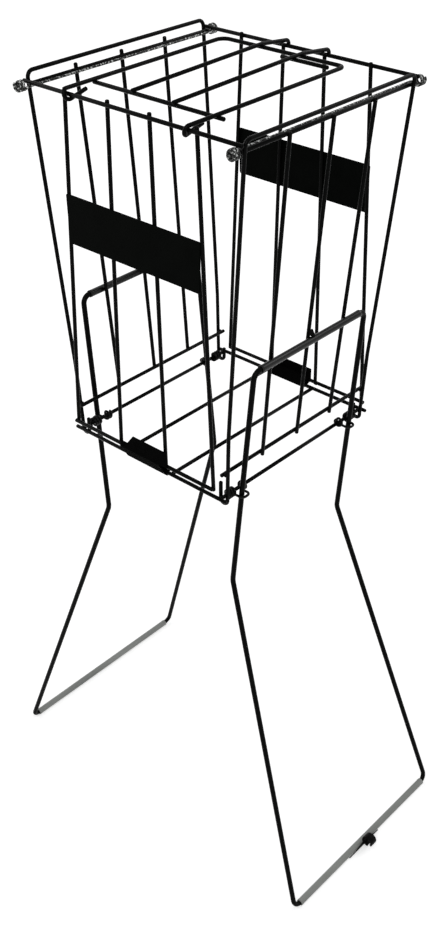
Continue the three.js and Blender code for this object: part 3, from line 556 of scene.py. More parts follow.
class Form:
    """Collects vertices and faces for one piece."""

    def __init__(self):
        self.vertices = []
        self.faces = []
        self.flat = set()

    def rings(self, rings, closed=False):
        """Skins a list of equal rings, with a fan over each end unless they close on themselves."""
        first = len(self.vertices)
        sides = len(rings[0])
        for ring in rings:
            self.vertices.extend(ring)
        count = len(rings)
        for k in range(count if closed else count - 1):
            here = first + k * sides
            there = first + (k + 1) % count * sides
            for j in range(sides):
                after = (j + 1) % sides
                self.faces.append((here + j, here + after, there + after, there + j))
        if not closed:
            self.faces.append(tuple(first + j for j in reversed(range(sides))))
            last = first + (count - 1) * sides
            self.faces.append(tuple(last + j for j in range(sides)))

    def wire(self, points, diameter, sides=WIRE_SIDES, ends=(True, True)):
        """A round wire along points, its ends domed."""
        points = [Vector(spot) for spot in points]
        tangents = []
        for k in range(len(points)):
            tangent = Vector((0, 0, 0))
            if k > 0:
                tangent += (points[k] - points[k - 1]).normalized()
            if k < len(points) - 1:
                tangent += (points[k + 1] - points[k]).normalized()
            tangents.append(tangent.normalized())
        radius = diameter / 2
        normal = tangents[0].orthogonal().normalized()
        stations = []
        for k, (spot, tangent) in enumerate(zip(points, tangents)):
            if k > 0:
                turn = tangents[k - 1].rotation_difference(tangent)
                normal = turn @ normal
            normal = (normal - tangent * normal.dot(tangent)).normalized()
            stations.append((spot, tangent, normal.copy(), 1.0))
        if ends[0]:
            stations = self.dome(stations[0], radius, 1) + stations[1:]
        if ends[1]:
            stations = stations[:-1] + self.dome(stations[-1], radius, -1)[::-1]
        rings = []
        for spot, tangent, across, share in stations:
            other = tangent.cross(across)
            ring = []
            for j in range(sides):
                angle = 2 * math.pi * j / sides
                outward = across * math.cos(angle) + other * math.sin(angle)
                ring.append(spot + outward * radius * share)
            rings.append(ring)
        self.rings(rings)

    @staticmethod
    def dome(station, radius, inward):
        """Stations that round a wire's end off inside its length."""
        spot, tangent, normal, _ = station
        depth = radius * DOME_DEPTH_SHARE
        domed = []
        for k in range(DOME_RINGS + 1):
            angle = math.pi / 2 * k / DOME_RINGS
            share = max(math.sin(angle), DOME_TIP_SHARE)
            inner_spot = spot + tangent * inward * depth * (1 - math.cos(angle))
            domed.append((inner_spot, tangent, normal, share))
        return domed

    def bead(self, first, second):
        """A weld between two crossing wires: a soft lens round the place where they touch."""
        first = Vector(first)
        second = Vector(second)
        centre = (first + second) / 2
        axis = (second - first).normalized()
        across = axis.orthogonal().normalized()
        other = axis.cross(across)
        radius = BASKET_WIRE / 2 * BEAD_SPREAD_SHARE
        height = (second - first).length / 2
        rings = []
        for k in range(1, BEAD_ROWS):
            latitude = math.pi * k / BEAD_ROWS - math.pi / 2
            ring = []
            for j in range(WIRE_SIDES):
                angle = 2 * math.pi * j / WIRE_SIDES
                outward = across * math.cos(angle) + other * math.sin(angle)
                sideways = outward * radius * math.cos(latitude)
                ring.append(centre + sideways + axis * height * math.sin(latitude))
            rings.append(ring)
        self.rings(rings)

    def lathe(self, x, z, profile):
        """A ring body round a line along Y. The profile is a closed list of (along, radius)."""
        rings = []
        for along, radius in profile:
            rings.append([
                Vector((x + radius * math.cos(a), along, z + radius * math.sin(a)))
                for a in (2 * math.pi * j / TUBE_SIDES for j in range(TUBE_SIDES))
            ])
        self.rings(rings, closed=True)

    def prism(self, outline, start, end):
        """An outline of (x, z) points made solid from y start to y end, with flat ends."""
        base = len(self.vertices)
        count = len(outline)
        for y in (start, end):
            self.vertices.extend(Vector((x, y, z)) for x, z in outline)
        for j in range(count):
            after = (j + 1) % count
            self.faces.append((base + j, base + after, base + count + after, base + count + j))
        self.flat.update((len(self.faces), len(self.faces) + 1))
        self.faces.append(tuple(base + j for j in reversed(range(count))))
        self.faces.append(tuple(base + count + j for j in range(count)))

    def build(self, name, material, smooth=True):
        mesh = bpy.data.meshes.new(name)
        mesh.from_pydata([tuple(v) for v in self.vertices], [], self.faces)
        edit = bmesh.new()
        edit.from_mesh(mesh)
        bmesh.ops.recalc_face_normals(edit, faces=edit.faces)
        edit.to_mesh(mesh)
        edit.free()
        mesh.materials.append(material)
        for face in mesh.polygons:
            face.use_smooth = smooth and face.index not in self.flat
        piece = bpy.data.objects.new(name, mesh)
        bpy.context.scene.collection.objects.link(piece)
        return piece


def middle_x(node):
    low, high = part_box(node)
    return (low[0] + high[0]) / 2


# The basket's middle plane lies a little to one side of the origin
BASKET_X = (middle_x("grip_left") + middle_x("grip_right")) / 2


def fit(piece, node, body):
    """The piece stands for a CAD node, whose part it hides, and rides on its body."""
    piece.data.transform(Matrix.Translation((BASKET_X, 0, 0)))
    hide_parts(node)
    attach(piece, body)


def bevel(piece, width, angle=BEVEL_ANGLE):
    modifier = piece.modifiers.new("edges", "BEVEL")
    modifier.width = width
    modifier.segments = BEVEL_SEGMENTS
    modifier.limit_method = "ANGLE"
    modifier.angle_limit = math.radians(angle)


# Basket floor

def add_floor():
    reach = GRID_CROSS_Y - BASKET_WIRE / 2 - CLEAR
    for k in range(GRID_WIRES):
        x = EDGE_WIRE_X - GRID_PITCH * k
        node = f"floor_wire_{k + 1}"
        run = [(x, -reach, GRID_HEIGHT), (x, reach, GRID_HEIGHT)]
        form = Form()
        form.wire(run, BASKET_WIRE, ends=(False, False))
        fit(form.build(f"{node}_round", COATING), node, "basket")
    cross_reach = EDGE_WIRE_X + 2 * BASKET_WIRE + CLEAR
    for name, side in (("front", -1), ("back", 1)):
        y = side * GRID_CROSS_Y
        form = Form()
        form.wire([(-cross_reach, y, GRID_HEIGHT), (cross_reach, y, GRID_HEIGHT)], BASKET_WIRE)
        piece = form.build(f"floor_cross_{name}_round", COATING)
        fit(piece, f"floor_cross_{name}", "basket")


# Side panels

def side_x(height):
    return mix(SIDE_FLOOR_HALF, SIDE_RIM_HALF, (height - GRID_HEIGHT) / BASKET_DEPTH)


def frame_y(height):
    return mix(FRAME_FLOOR_Y, FRAME_RIM_Y, (height - GRID_HEIGHT) / BASKET_DEPTH)


# Places that follow from the side panels' lean
PANEL_Y = frame_y(PANEL_RIM_HEIGHT) + BASKET_WIRE + CLEAR
PANEL_VERTICAL_Y = PANEL_Y - WELD_STEP
LID_FRONT_Y = PANEL_Y - LID_FRONT_SETBACK
LID_BACK_Y = PANEL_Y - LID_BACK_SETBACK
LID_SHORT_Y = PANEL_Y - LID_SHORT_SETBACK
FRAME_FOOT_X = EDGE_WIRE_X + BASKET_WIRE + CLEAR
FRAME_BEND_HEIGHT = GRID_HEIGHT + FRAME_BEND_RISE


def frame_x(height):
    """Half the width between the side panels' frames, whose feet stand a little wider."""
    if height > FRAME_BEND_HEIGHT:
        return side_x(height)
    return mix(FRAME_FOOT_X, side_x(FRAME_BEND_HEIGHT), (height - GRID_HEIGHT) / FRAME_BEND_RISE)


def side_frame(side, bar_rise, near_tip_rise):
    bar_height = RIM_HEIGHT + bar_rise
    tip_x = side * (EDGE_WIRE_X - BASKET_WIRE - CLEAR)

    def half(end, tip_rise):
        y = end * FRAME_FLOOR_Y
        return [
            (tip_x, y, GRID_HEIGHT + tip_rise),
            (tip_x, y, GRID_HEIGHT - HOOK_DROP),
            (side * FRAME_FOOT_X, y, GRID_HEIGHT - HOOK_DROP),
            (side * FRAME_FOOT_X, y, GRID_HEIGHT),
            (side * side_x(FRAME_BEND_HEIGHT), end * frame_y(FRAME_BEND_HEIGHT), FRAME_BEND_HEIGHT),
            (side * side_x(bar_height), end * frame_y(bar_height), bar_height),
        ]

    hook_bend = (BASKET_WIRE + CLEAR) * TIGHT_BEND_SHARE
    radii = [hook_bend, hook_bend, FRAME_BEND, FRAME_BEND, SIDE_BAR_BEND]
    return rounded(half(-1, near_tip_rise) + half(1, FAR_TIP_RISE)[::-1], radii + radii[::-1])


def add_side_panel(name, side, rim_rise, bar_rise, stub_rise, near_tip_rise):
    form = Form()
    form.wire(side_frame(side, bar_rise, near_tip_rise), BASKET_WIRE)
    rim_height = RIM_HEIGHT + rim_rise
    foot_height = GRID_HEIGHT + SIDE_FOOT_RISE
    rim_reach = PANEL_Y - BASKET_WIRE / 2 - CLEAR
    foot_reach = frame_y(foot_height) + SIDE_FOOT_OVERHANG
    for height, reach in ((rim_height, rim_reach), (foot_height, foot_reach)):
        x = side * (side_x(height) - SIDE_CROSS_INSET)
        form.wire([(x, -reach, height), (x, reach, height)], BASKET_WIRE)
        for end in (-1, 1):
            y = end * frame_y(height)
            form.bead((side * frame_x(height), y, height), (x, y, height))
    for k in range(SIDE_VERTICALS):
        column = k - (SIDE_VERTICALS - 1) / 2

        def at(height):
            share = (height - foot_height) / (RIM_HEIGHT - foot_height)
            y = column * mix(SIDE_FOOT_PITCH, SIDE_RIM_PITCH, share)
            return (side * (side_x(height) - SIDE_VERTICAL_INSET), y, height)

        form.wire([at(foot_height - SIDE_STUB_DROP), at(RIM_HEIGHT + stub_rise)], BASKET_WIRE)
        for height in (rim_height, foot_height):
            near = at(height)
            form.bead(near, (side * (side_x(height) - SIDE_CROSS_INSET), near[1], height))
    fit(form.build(f"{name}_round", COATING), name, "basket")


def add_side_panels():
    add_side_panel("side_panel_left", -1,
                   LEFT_RIM_RISE, LEFT_BAR_RISE, LEFT_STUB_RISE, LEFT_TIP_RISE)
    add_side_panel("side_panel_right", 1,
                   RIGHT_RIM_RISE, RIGHT_BAR_RISE, RIGHT_STUB_RISE, RIGHT_TIP_RISE)


# Front and back panels

def add_end_panel(name, side, foot_height, stub_drop, inner_stub_rise):
    form = Form()
    y = side * PANEL_Y
    for height, reach in ((PANEL_RIM_HEIGHT, PANEL_RIM_HALF), (foot_height, PANEL_FOOT_HALF)):
        form.wire([(-reach, y, height), (reach, y, height)], BASKET_WIRE)
    for rim_x, foot_x, stub_rise in (
        (PANEL_INNER_RIM_X, PANEL_INNER_FOOT_X, inner_stub_rise),
        (PANEL_OUTER_RIM_X, PANEL_OUTER_FOOT_X, PANEL_STUB_RISE),
    ):
        for hand in (-1, 1):
            def at(height):
                share = (height - foot_height) / (PANEL_RIM_HEIGHT - foot_height)
                return (hand * mix(foot_x, rim_x, share), side * PANEL_VERTICAL_Y, height)

            form.wire([at(foot_height - stub_drop), at(PANEL_RIM_HEIGHT + stub_rise)], BASKET_WIRE)
            for height in (PANEL_RIM_HEIGHT, foot_height):
                near = at(height)
                form.bead(near, (near[0], y, height))
    fit(form.build(f"{name}_round", COATING), name, "basket")


def add_end_panels():
    add_end_panel("front_panel", -1, FRONT_FOOT_HEIGHT, FRONT_STUB_DROP, PANEL_STUB_RISE)
    add_end_panel("back_panel", 1, BACK_FOOT_HEIGHT, BACK_STUB_DROP, BASKET_WIRE / 2)


# Tie rods

def tie_rod(side, rim_rise, lean):
    """A straight run beside the side rim, bent outward and wound up at both ends."""
    rim_height = RIM_HEIGHT + rim_rise
    reach = BASKET_WIRE / 2 + TIE_WIRE / 2 + CLEAR
    x = side * (side_x(rim_height) - SIDE_CROSS_INSET - reach * math.cos(lean))
    z = rim_height - reach * math.sin(lean)
    coil_y = PANEL_Y + BASKET_WIRE / 2 + TIE_WIRE / 2 + CLEAR
    out = Vector((side * math.cos(TIE_COIL_START), 0, math.sin(TIE_COIL_START)))
    across = Vector((-side * math.sin(TIE_COIL_START), 0, math.cos(TIE_COIL_START)))

    def end(hand):
        bend = []
        for k in range(TIE_BEND_STEPS + 1):
            angle = math.pi / 2 * k / TIE_BEND_STEPS
            along = coil_y - TIE_BEND + TIE_BEND * math.sin(angle)
            bend.append(Vector((x, hand * along, z)) + out * TIE_BEND * (1 - math.cos(angle)))
        centre = Vector((x, hand * coil_y, z)) + out * TIE_BEND + across * TIE_COIL_RADIUS
        coil = helix(centre, TIE_COIL_RADIUS, side, hand * TIE_COIL_PITCH,
                     TIE_COIL_TURNS, TIE_COIL_START)
        return chain(bend, coil)

    return chain(end(-1)[::-1], end(1))


def add_tie_rods():
    for node, path in (
        ("tie_rod_left", tie_rod(-1, LEFT_RIM_RISE, TIE_LEAN)),
        ("tie_rod_right", tie_rod(1, RIGHT_RIM_RISE, -TIE_LEAN)),
    ):
        form = Form()
        form.wire(path, TIE_WIRE)
        fit(form.build(f"{node}_round", TIE_STEEL), node, "basket")


# Plates

def rounded_outline(corners, radius):
    """A closed outline of (x, z) corners, each rounded by the radius."""
    loop = [(x, 0, z) for x, z in corners]
    points = rounded([loop[-1], *loop, loop[0]], [radius] * len(loop))
    return [(spot.x, spot.z) for spot in points[1:-1]]


def add_plates():
    top = RIM_HEIGHT - PLATE_DROP
    bottom = top - PLATE_HEIGHT
    corners = [
        (-PLATE_FOOT_WIDTH / 2, bottom),
        (PLATE_FOOT_WIDTH / 2, bottom),
        (PLATE_WIDTH / 2, top),
        (-PLATE_WIDTH / 2, top),
    ]
    outline = rounded_outline(corners, PLATE_CORNER)
    y = PANEL_VERTICAL_Y + BASKET_WIRE / 2 + CLEAR
    for name, side in (("front", -1), ("back", 1)):
        form = Form()
        form.prism(outline, side * y, side * (y + PLATE_THICKNESS))
        piece = form.build(f"{name}_plate_sheet", PLATE_BLACK, smooth=False)
        bevel(piece, PLATE_EDGE)
        fit(piece, f"{name}_plate", "basket")


# Wraps

def wrap_outline(radius, foot_height):
    """Section of a band round the panel's foot wire and the floor's cross wire, as (y, z)."""
    lean = math.atan2(foot_height - GRID_HEIGHT, PANEL_Y - GRID_CROSS_Y)
    points = []
    for y, z, start in (
        (PANEL_Y, foot_height, lean - math.pi / 2),
        (GRID_CROSS_Y, GRID_HEIGHT, lean + math.pi / 2),
    ):
        for k in range(WRAP_END_STEPS + 1):
            angle = start + math.pi * k / WRAP_END_STEPS
            points.append((y + radius * math.cos(angle), z + radius * math.sin(angle)))
    return points


def add_wrap(name, side, foot_height, left, right, flap):
    inner = BASKET_WIRE / 2 + CLEAR
    outer = inner + WRAP_THICKNESS
    profile = wrap_outline(outer, foot_height)
    bore = wrap_outline(inner, foot_height)
    shares = [k / WRAP_STOPS for k in range(WRAP_STOPS + 1)]
    loop = [(mix(-left, right, share), profile) for share in shares]
    loop += [(mix(right, -left, share), bore) for share in shares]
    rings = []
    for x, section in loop:
        ring = []
        for j, (y, z) in enumerate(section):
            tooth = WRAP_TOOTH * (j % 2) if x in (-left, right) else 0
            ring.append(Vector((x + (tooth if x < 0 else -tooth), side * y, z)))
        rings.append(ring)
    form = Form()
    form.rings(rings, closed=True)
    fit(form.build(f"{name}_tape", WRAP_WEAVE), name, "basket")
    flap_left, flap_top_left, flap_right, rise = flap
    cover = Form()
    cover.prism([
        (-flap_left, foot_height),
        (flap_right, foot_height),
        (flap_right, foot_height + rise),
        (-flap_top_left, foot_height + rise),
    ], side * (PANEL_Y + inner), side * (PANEL_Y + outer))
    piece = cover.build(f"{name}_flap", WRAP_WEAVE, smooth=False)
    bevel(piece, FLAP_EDGE)
    fit(piece, name, "basket")


def add_wraps():
    add_wrap("floor_wrap_front", -1, FRONT_FOOT_HEIGHT, FRONT_WRAP_LEFT, FRONT_WRAP_RIGHT,
             (FRONT_FLAP_LEFT, FRONT_FLAP_TOP_LEFT, FRONT_FLAP_RIGHT, FRONT_FLAP_RISE))
    add_wrap("floor_wrap_back", 1, BACK_FOOT_HEIGHT, BACK_WRAP_LEFT, BACK_WRAP_RIGHT,
             (BACK_WRAP_LEFT, BACK_WRAP_LEFT, BACK_WRAP_RIGHT, BACK_FLAP_RISE))


# Lid

def leaving_turn(y, z, hand):
    """The turn round the front rim at which a straight wire to a place beyond it leaves a curl."""
    return math.atan2(z, y) + hand * math.acos(CURL_RADIUS / math.hypot(y, z))


def lid_z(y):
    """Height of the lid's side wires at a place between the front curl and the back."""
    turn = leaving_turn(PANEL_Y + LID_BACK_Y, LID_BACK_RISE, 1)
    from_y = CURL_RADIUS * math.cos(turn) - PANEL_Y
    share = (y - from_y) / (LID_BACK_Y - from_y)
    return PANEL_RIM_HEIGHT + mix(CURL_RADIUS * math.sin(turn), LID_BACK_RISE, share)


def lid_curl(side):
    """A side wire's tail and its turn round the front rim, up to where it leaves for the back."""
    tail_x = side * (LID_HALF - BASKET_WIRE - CLEAR)
    first = leaving_turn(LID_TAIL_LENGTH, LID_TAIL_RISE, -1) + 2 * math.pi
    last = leaving_turn(PANEL_Y + LID_BACK_Y, LID_BACK_RISE, 1)
    points = [Vector((tail_x, LID_TAIL_LENGTH - PANEL_Y, PANEL_RIM_HEIGHT + LID_TAIL_RISE))]
    steps = math.ceil((first - last) / BEND_STEP)
    for k in range(steps + 1):
        share = k / steps
        turn = mix(first, last, share)
        points.append(Vector((
            mix(tail_x, side * LID_HALF, share),
            CURL_RADIUS * math.cos(turn) - PANEL_Y,
            PANEL_RIM_HEIGHT + CURL_RADIUS * math.sin(turn),
        )))
    return points


def add_lid():
    left = lid_curl(-1)
    right = lid_curl(1)
    back_height = PANEL_RIM_HEIGHT + LID_BACK_RISE
    corners = [
        left[-1],
        (-LID_HALF, LID_BACK_Y, back_height),
        (LID_HALF, LID_BACK_Y, back_height),
        right[-1],
    ]
    form = Form()
    outer = rounded(corners, [LID_LEFT_BEND, LID_RIGHT_BEND])
    form.wire(chain(left, outer, right[::-1]), BASKET_WIRE)
    front_z = lid_z(-LID_FRONT_Y)
    low = front_z - WELD_STEP
    form.wire([(-LID_HALF - LID_CROSS_LEFT_OVERHANG, -LID_FRONT_Y, low),
               (LID_HALF + LID_CROSS_RIGHT_OVERHANG, -LID_FRONT_Y, low)], BASKET_WIRE)

    def inner_z(y):
        share = (y + LID_FRONT_Y) / (LID_BACK_Y + LID_FRONT_Y)
        return mix(front_z, back_height + WELD_STEP, share)

    hook_y = PANEL_Y + CURL_RADIUS
    front_end = -LID_FRONT_Y - LID_INNER_OVERHANG
    for side in (-1, 1):
        x = side * LID_INNER_X
        form.wire(rounded([
            (x, front_end, inner_z(front_end)),
            (x, LID_BACK_Y, inner_z(LID_BACK_Y)),
            (x, hook_y, PANEL_RIM_HEIGHT + CURL_RADIUS),
            (x, hook_y, PANEL_RIM_HEIGHT - LID_HOOK_DROP),
        ], [LID_INNER_BEND, CURL_RADIUS]), BASKET_WIRE)
        form.bead((x, -LID_FRONT_Y, low), (x, -LID_FRONT_Y, front_z))
        form.bead((x, LID_BACK_Y, back_height), (x, LID_BACK_Y, back_height + WELD_STEP))
        edge = side * LID_HALF
        form.bead((edge, -LID_FRONT_Y, low), (edge, -LID_FRONT_Y, front_z))
    short_z = inner_z(LID_SHORT_Y) - WELD_STEP
    form.wire([(LID_INNER_X - LID_SHORT_LEFT, LID_SHORT_Y, short_z),
               (LID_INNER_X + LID_SHORT_RIGHT, LID_SHORT_Y, short_z)], BASKET_WIRE)
    form.bead((LID_INNER_X, LID_SHORT_Y, short_z),
              (LID_INNER_X, LID_SHORT_Y, short_z + WELD_STEP))
    fit(form.build("lid_round", COATING), "lid", "lid")


# Leg frames

# Places that follow from the side panels, against which the legs' upper parts lie
SLEEVE_REACH = BASKET_WIRE / 2 + SLEEVE_DIAMETER / 2 + CLEAR
SLEEVE_X = side_x(SLEEVE_HEIGHT) - SIDE_VERTICAL_INSET + SLEEVE_REACH
LEG_SLOPE = (SIDE_RIM_HALF - SIDE_FLOOR_HALF) / BASKET_DEPTH
FLOOR_BAR_Z = GRIP_DIAMETER / 2


def leg_x(height):
    """Place of the leg's upper part, which leans as the side panel does."""
    return SLEEVE_X - (SLEEVE_HEIGHT - height) * LEG_SLOPE


def leg_rod():
    def half(hand, sleeve_y, knee_y, floor_y):
        return [
            (SLEEVE_X, hand * ROD_BUTT_GAP / 2, SLEEVE_HEIGHT),
            (SLEEVE_X, hand * sleeve_y, SLEEVE_HEIGHT),
            (leg_x(KNEE_HEIGHT), hand * knee_y, KNEE_HEIGHT),
            (FLOOR_BAR_X, hand * floor_y, FLOOR_BAR_Z),
        ]

    near = half(-1, SLEEVE_NEAR_Y, KNEE_NEAR_Y, FLOOR_NEAR_Y)
    far = half(1, SLEEVE_FAR_Y, KNEE_FAR_Y, FLOOR_FAR_Y)[::-1]
    radii = [SLEEVE_BEND, KNEE_BEND, FLOOR_BEND, FLOOR_BEND, KNEE_BEND, SLEEVE_BEND]
    return rounded(near + far, radii)


def tube_profile(start, end, radius, bore):
    """Section of a tube with soft rounded lips, as (along, radius) round its wall."""
    wall = radius - bore
    soft = wall * LIP_ROUND_SHARE
    edge = radius - soft
    shoulder = soft * LIP_SHOULDER_SHARE
    crown = radius - soft * LIP_CROWN_SHARE
    fall = TUBE_LIP * LIP_FALL_SHARE
    waist = radius - wall * TUBE_WAIST_SHARE
    return [
        (start, bore), (start, edge), (start + shoulder, crown), (start + soft, radius),
        (start + TUBE_LIP, radius), (start + fall, waist),
        (end - fall, waist), (end - TUBE_LIP, radius),
        (end - soft, radius), (end - shoulder, crown), (end, edge), (end, bore),
    ]


def leg_span(hand, height, sleeve_y, knee_y):
    """Where a leg's upper part is along Y at a height."""
    return hand * mix(knee_y, sleeve_y, (height - KNEE_HEIGHT) / (SLEEVE_HEIGHT - KNEE_HEIGHT))


def guide_clip(hand, sleeve_y, knee_y):
    """A wire wound on the floor's edge wire, with an ear that the leg slides and sways in."""
    at_rest = leg_span(hand, GRID_HEIGHT, sleeve_y, knee_y)
    drop = SLIDE_TRAVEL / math.hypot(1, LEG_SLOPE)
    slid_down = leg_span(hand, GRID_HEIGHT + drop, sleeve_y, knee_y)
    middle = (at_rest + slid_down) / 2
    sway = abs(at_rest - slid_down) / 2
    ear_half = sway + LEG_WIRE / 2 + CLEAR + CLIP_WIRE / 2
    radius = (BASKET_WIRE / 2 + CLIP_WIRE / 2 + CLEAR) * CLIP_SLACK

    def coil(way, turns):
        centre = (EDGE_WIRE_X, middle + way * ear_half, GRID_HEIGHT)
        return helix(centre, radius, -1, way * CLIP_PITCH, turns)

    low = GRID_HEIGHT - radius
    tip = leg_x(GRID_HEIGHT) + CLIP_EAR_REACH
    ear = rounded([
        (EDGE_WIRE_X, middle + hand * ear_half, low),
        (tip, middle + hand * ear_half, low),
        (tip, middle - hand * ear_half, low),
        (EDGE_WIRE_X, middle - hand * ear_half, low),
    ], [CLIP_EAR_BEND, CLIP_EAR_BEND])
    return chain(coil(hand, CLIP_OUTER_TURNS)[::-1], ear, coil(-hand, CLIP_INNER_TURNS))


def arc_band(centre, inner, wall, start, end):
    """An open ring's section, as (x, z) points round its wall."""
    points = []
    for radius, first, last in ((inner, start, end), (inner + wall, end, start)):
        for k in range(HANDLE_ARC_STEPS + 1):
            angle = mix(first, last, k / HANDLE_ARC_STEPS)
            points.append((
                centre[0] + radius * math.cos(angle),
                centre[1] + radius * math.sin(angle),
            ))
    return points


def wing_rings(grip, ring_start, ring_end):
    """Sections of the thin shell on the grip's outer side, tall at the ring and low at its ends."""
    places = []
    for k in range(HANDLE_WING_STEPS + 1):
        share = k / HANDLE_WING_STEPS
        top = mix(HANDLE_WING_TIP, HANDLE_WING_TOP, share)
        places.append((mix(HANDLE_WING_START, ring_start, share), top))
        places.append((mix(HANDLE_WING_END, ring_end, share), top))
    rings = []
    inner = GRIP_DIAMETER / 2 + CLEAR
    for y, top in sorted(places):
        section = arc_band(grip, inner, HANDLE_WING_WALL, HANDLE_WING_BOTTOM, top)
        rings.append([Vector((x, y, z)) for x, z in section])
    return rings


def add_handle_clip():
    """On the right grip: an open ring for the other grip, and the shell that holds it here."""
    inner = GRIP_DIAMETER / 2 + CLEAR
    grip = (FLOOR_BAR_X, FLOOR_BAR_Z)
    apart = 2 * inner + HANDLE_CLIP_WALL
    ring = (
        grip[0] + apart * math.cos(HANDLE_CLIP_LIFT),
        grip[1] + apart * math.sin(HANDLE_CLIP_LIFT),
    )
    start = HANDLE_CLIP_Y - HANDLE_CLIP_LENGTH / 2
    end = HANDLE_CLIP_Y + HANDLE_CLIP_LENGTH / 2
    arc_start = HANDLE_CLIP_MOUTH_TURN + HANDLE_CLIP_MOUTH / 2
    arc_end = arc_start + 2 * math.pi - HANDLE_CLIP_MOUTH
    form = Form()
    form.prism(arc_band(ring, inner, HANDLE_CLIP_WALL, arc_start, arc_end), start, end)
    piece = form.build("handle_clip_ring", MOULDED)
    bevel(piece, HANDLE_RING_EDGE)
    fit(piece, "handle_clip", "leg_right")
    wing = Form()
    wing.rings(wing_rings(grip, start, end))
    piece = wing.build("handle_clip_wing", MOULDED)
    bevel(piece, HANDLE_WING_EDGE, HANDLE_WING_EDGE_ANGLE)
    fit(piece, "handle_clip", "leg_right")


def turned(piece, side):
    """The left leg's pieces are the right one's turned half round."""
    if side < 0:
        piece.data.transform(Matrix.Rotation(math.pi, 4, "Z"))
    return piece


def add_leg(name, side):
    body = f"leg_{name}"
    rod = Form()
    rod.wire(leg_rod(), LEG_WIRE, sides=LEG_SIDES)
    piece = turned(rod.build(f"leg_rod_{name}_round", COATING), side)
    fit(piece, f"leg_rod_{name}", body)

    bore = LEG_WIRE / 2 + CLEAR
    sleeve = Form()
    sleeve.lathe(SLEEVE_X, SLEEVE_HEIGHT, tube_profile(
        -SLEEVE_NEAR_Y + SLEEVE_BEND + CLEAR, SLEEVE_FAR_Y - SLEEVE_BEND - CLEAR,
        SLEEVE_DIAMETER / 2, bore))
    piece = turned(sleeve.build(f"sleeve_{name}_vinyl", SLEEVE_VINYL), side)
    fit(piece, f"sleeve_{name}", body)

    grip = Form()
    grip.lathe(FLOOR_BAR_X, FLOOR_BAR_Z, tube_profile(
        -FLOOR_NEAR_Y + FLOOR_BEND + CLEAR, FLOOR_FAR_Y - FLOOR_BEND - CLEAR,
        GRIP_DIAMETER / 2, bore))
    piece = turned(grip.build(f"grip_{name}_tube", GRIP_GREY), side)
    fit(piece, f"grip_{name}", body)

    for clip_name, hand, sleeve_y, knee_y in (
        ("near", -1, SLEEVE_NEAR_Y, KNEE_NEAR_Y), ("far", 1, SLEEVE_FAR_Y, KNEE_FAR_Y),
    ):
        clip = Form()
        clip.wire(guide_clip(hand, sleeve_y, knee_y), CLIP_WIRE, sides=CLIP_SIDES)
        node = f"guide_clip_{name}_{clip_name}"
        piece = turned(clip.build(f"{node}_round", CLIP_STEEL), side)
        fit(piece, node, f"clips_{name}")

    bottom = SLEEVE_HEIGHT + SLEEVE_DIAMETER / 2 + CLEAR
    top = bottom + WEDGE_HEIGHT

    def face(height):
        return side_x(height) - SIDE_VERTICAL_INSET + BASKET_WIRE / 2 + CLEAR

    wedge = Form()
    wedge.prism([
        (face(bottom), bottom), (face(bottom) + WEDGE_REACH, bottom),
        (face(top) + WEDGE_TIP, top), (face(top), top),
    ], -WEDGE_WIDTH / 2, WEDGE_WIDTH / 2)
    piece = turned(wedge.build(f"stop_wedge_{name}_cast", COATING, smooth=False), side)
    bevel(piece, WEDGE_EDGE)
    fit(piece, f"stop_wedge_{name}", "basket")


# Stage and light

def seen_as_backdrop(tree):
    """1 for a ray from the camera, a reflection or a see-through surface, 0 for other rays."""
    path = tree.nodes.new("ShaderNodeLightPath")
    seen = path.outputs["Is Camera Ray"]
    for ray in ("Is Glossy Ray", "Is Transmission Ray"):
        either = tree.nodes.new("ShaderNodeMath")
        either.operation = "MAXIMUM"
        tree.links.new(seen, either.inputs[0])
        tree.links.new(path.outputs[ray], either.inputs[1])
        seen = either.outputs["Value"]
    return seen


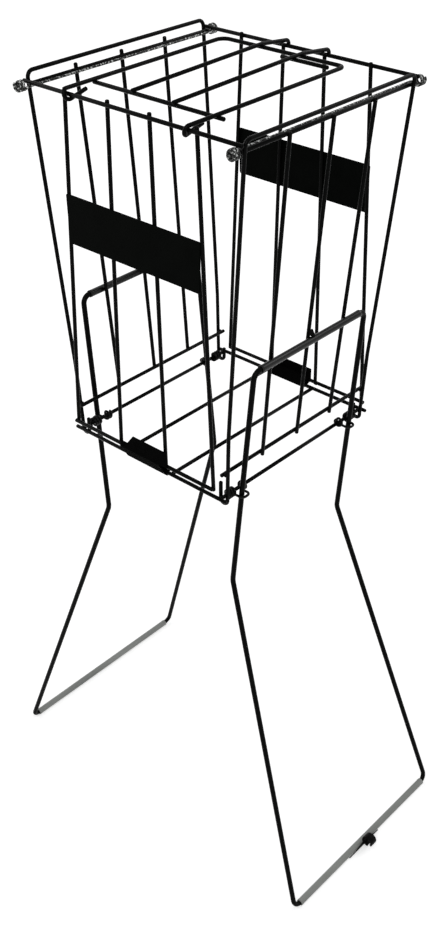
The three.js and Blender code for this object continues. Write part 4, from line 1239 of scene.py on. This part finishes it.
def add_stage():
    mesh = bpy.data.meshes.new("floor")
    reach = FLOOR_REACH
    corners = [(-reach, -reach, 0), (reach, -reach, 0), (reach, reach, 0), (-reach, reach, 0)]
    mesh.from_pydata(corners, [], [(0, 1, 2, 3)])
    floor = bpy.data.objects.new("floor", mesh)
    bpy.context.scene.collection.objects.link(floor)
    material = bpy.data.materials.new("floor")
    material.use_nodes = True
    tree = material.node_tree
    principled = tree.nodes["Principled BSDF"]
    principled.inputs["Base Color"].default_value = FLOOR_COLOR
    principled.inputs["Roughness"].default_value = FLOOR_ROUGHNESS
    principled.inputs["Specular IOR Level"].default_value = FLOOR_SPECULAR
    glow = tree.nodes.new("ShaderNodeEmission")
    place = tree.nodes.new("ShaderNodeTexCoord")
    distance = tree.nodes.new("ShaderNodeVectorMath")
    distance.operation = "LENGTH"
    tree.links.new(place.outputs["Object"], distance.inputs[0])
    level = tree.nodes.new("ShaderNodeMapRange")
    level.inputs["From Min"].default_value = GLOW_START
    level.inputs["From Max"].default_value = GLOW_END
    level.inputs["To Min"].default_value = GLOW_LOW
    level.inputs["To Max"].default_value = GLOW_HIGH
    tree.links.new(distance.outputs["Value"], level.inputs["Value"])
    lift = tree.nodes.new("ShaderNodeMath")
    lift.operation = "MULTIPLY"
    tree.links.new(seen_as_backdrop(tree), lift.inputs[0])
    tree.links.new(level.outputs["Result"], lift.inputs[1])
    tree.links.new(lift.outputs["Value"], glow.inputs["Strength"])
    both = tree.nodes.new("ShaderNodeAddShader")
    tree.links.new(principled.outputs["BSDF"], both.inputs[0])
    tree.links.new(glow.outputs["Emission"], both.inputs[1])
    tree.links.new(both.outputs["Shader"], tree.nodes["Material Output"].inputs["Surface"])
    mesh.materials.append(material)


def add_world():
    """Soft even light, and plain white where the camera or a shiny surface sees the backdrop."""
    world = bpy.data.worlds.new("studio")
    bpy.context.scene.world = world
    world.use_nodes = True
    tree = world.node_tree
    background = tree.nodes["Background"]
    background.inputs["Color"].default_value = (1, 1, 1, 1)
    strength = tree.nodes.new("ShaderNodeMapRange")
    strength.inputs["To Min"].default_value = WORLD_LIGHT
    strength.inputs["To Max"].default_value = WORLD_WHITE
    tree.links.new(seen_as_backdrop(tree), strength.inputs["Value"])
    tree.links.new(strength.outputs["Result"], background.inputs["Strength"])


def add_lights():
    for name, place, size, power in LAMPS:
        data = bpy.data.lights.new(name, "AREA")
        data.shape = "RECTANGLE"
        data.size, data.size_y = size
        data.energy = power
        lamp = bpy.data.objects.new(name, data)
        bpy.context.scene.collection.objects.link(lamp)
        lamp.location = place
        ahead = Vector(LAMP_TARGET) - Vector(place)
        lamp.rotation_euler = ahead.to_track_quat("-Z", "Y").to_euler()


add_camera()
add_stage()
add_world()
add_lights()
add_floor()
add_side_panels()
add_end_panels()
add_tie_rods()
add_plates()
add_wraps()
add_lid()
add_leg("right", 1)
add_leg("left", -1)
add_handle_clip()

bpy.context.scene.view_settings.view_transform = "Standard"
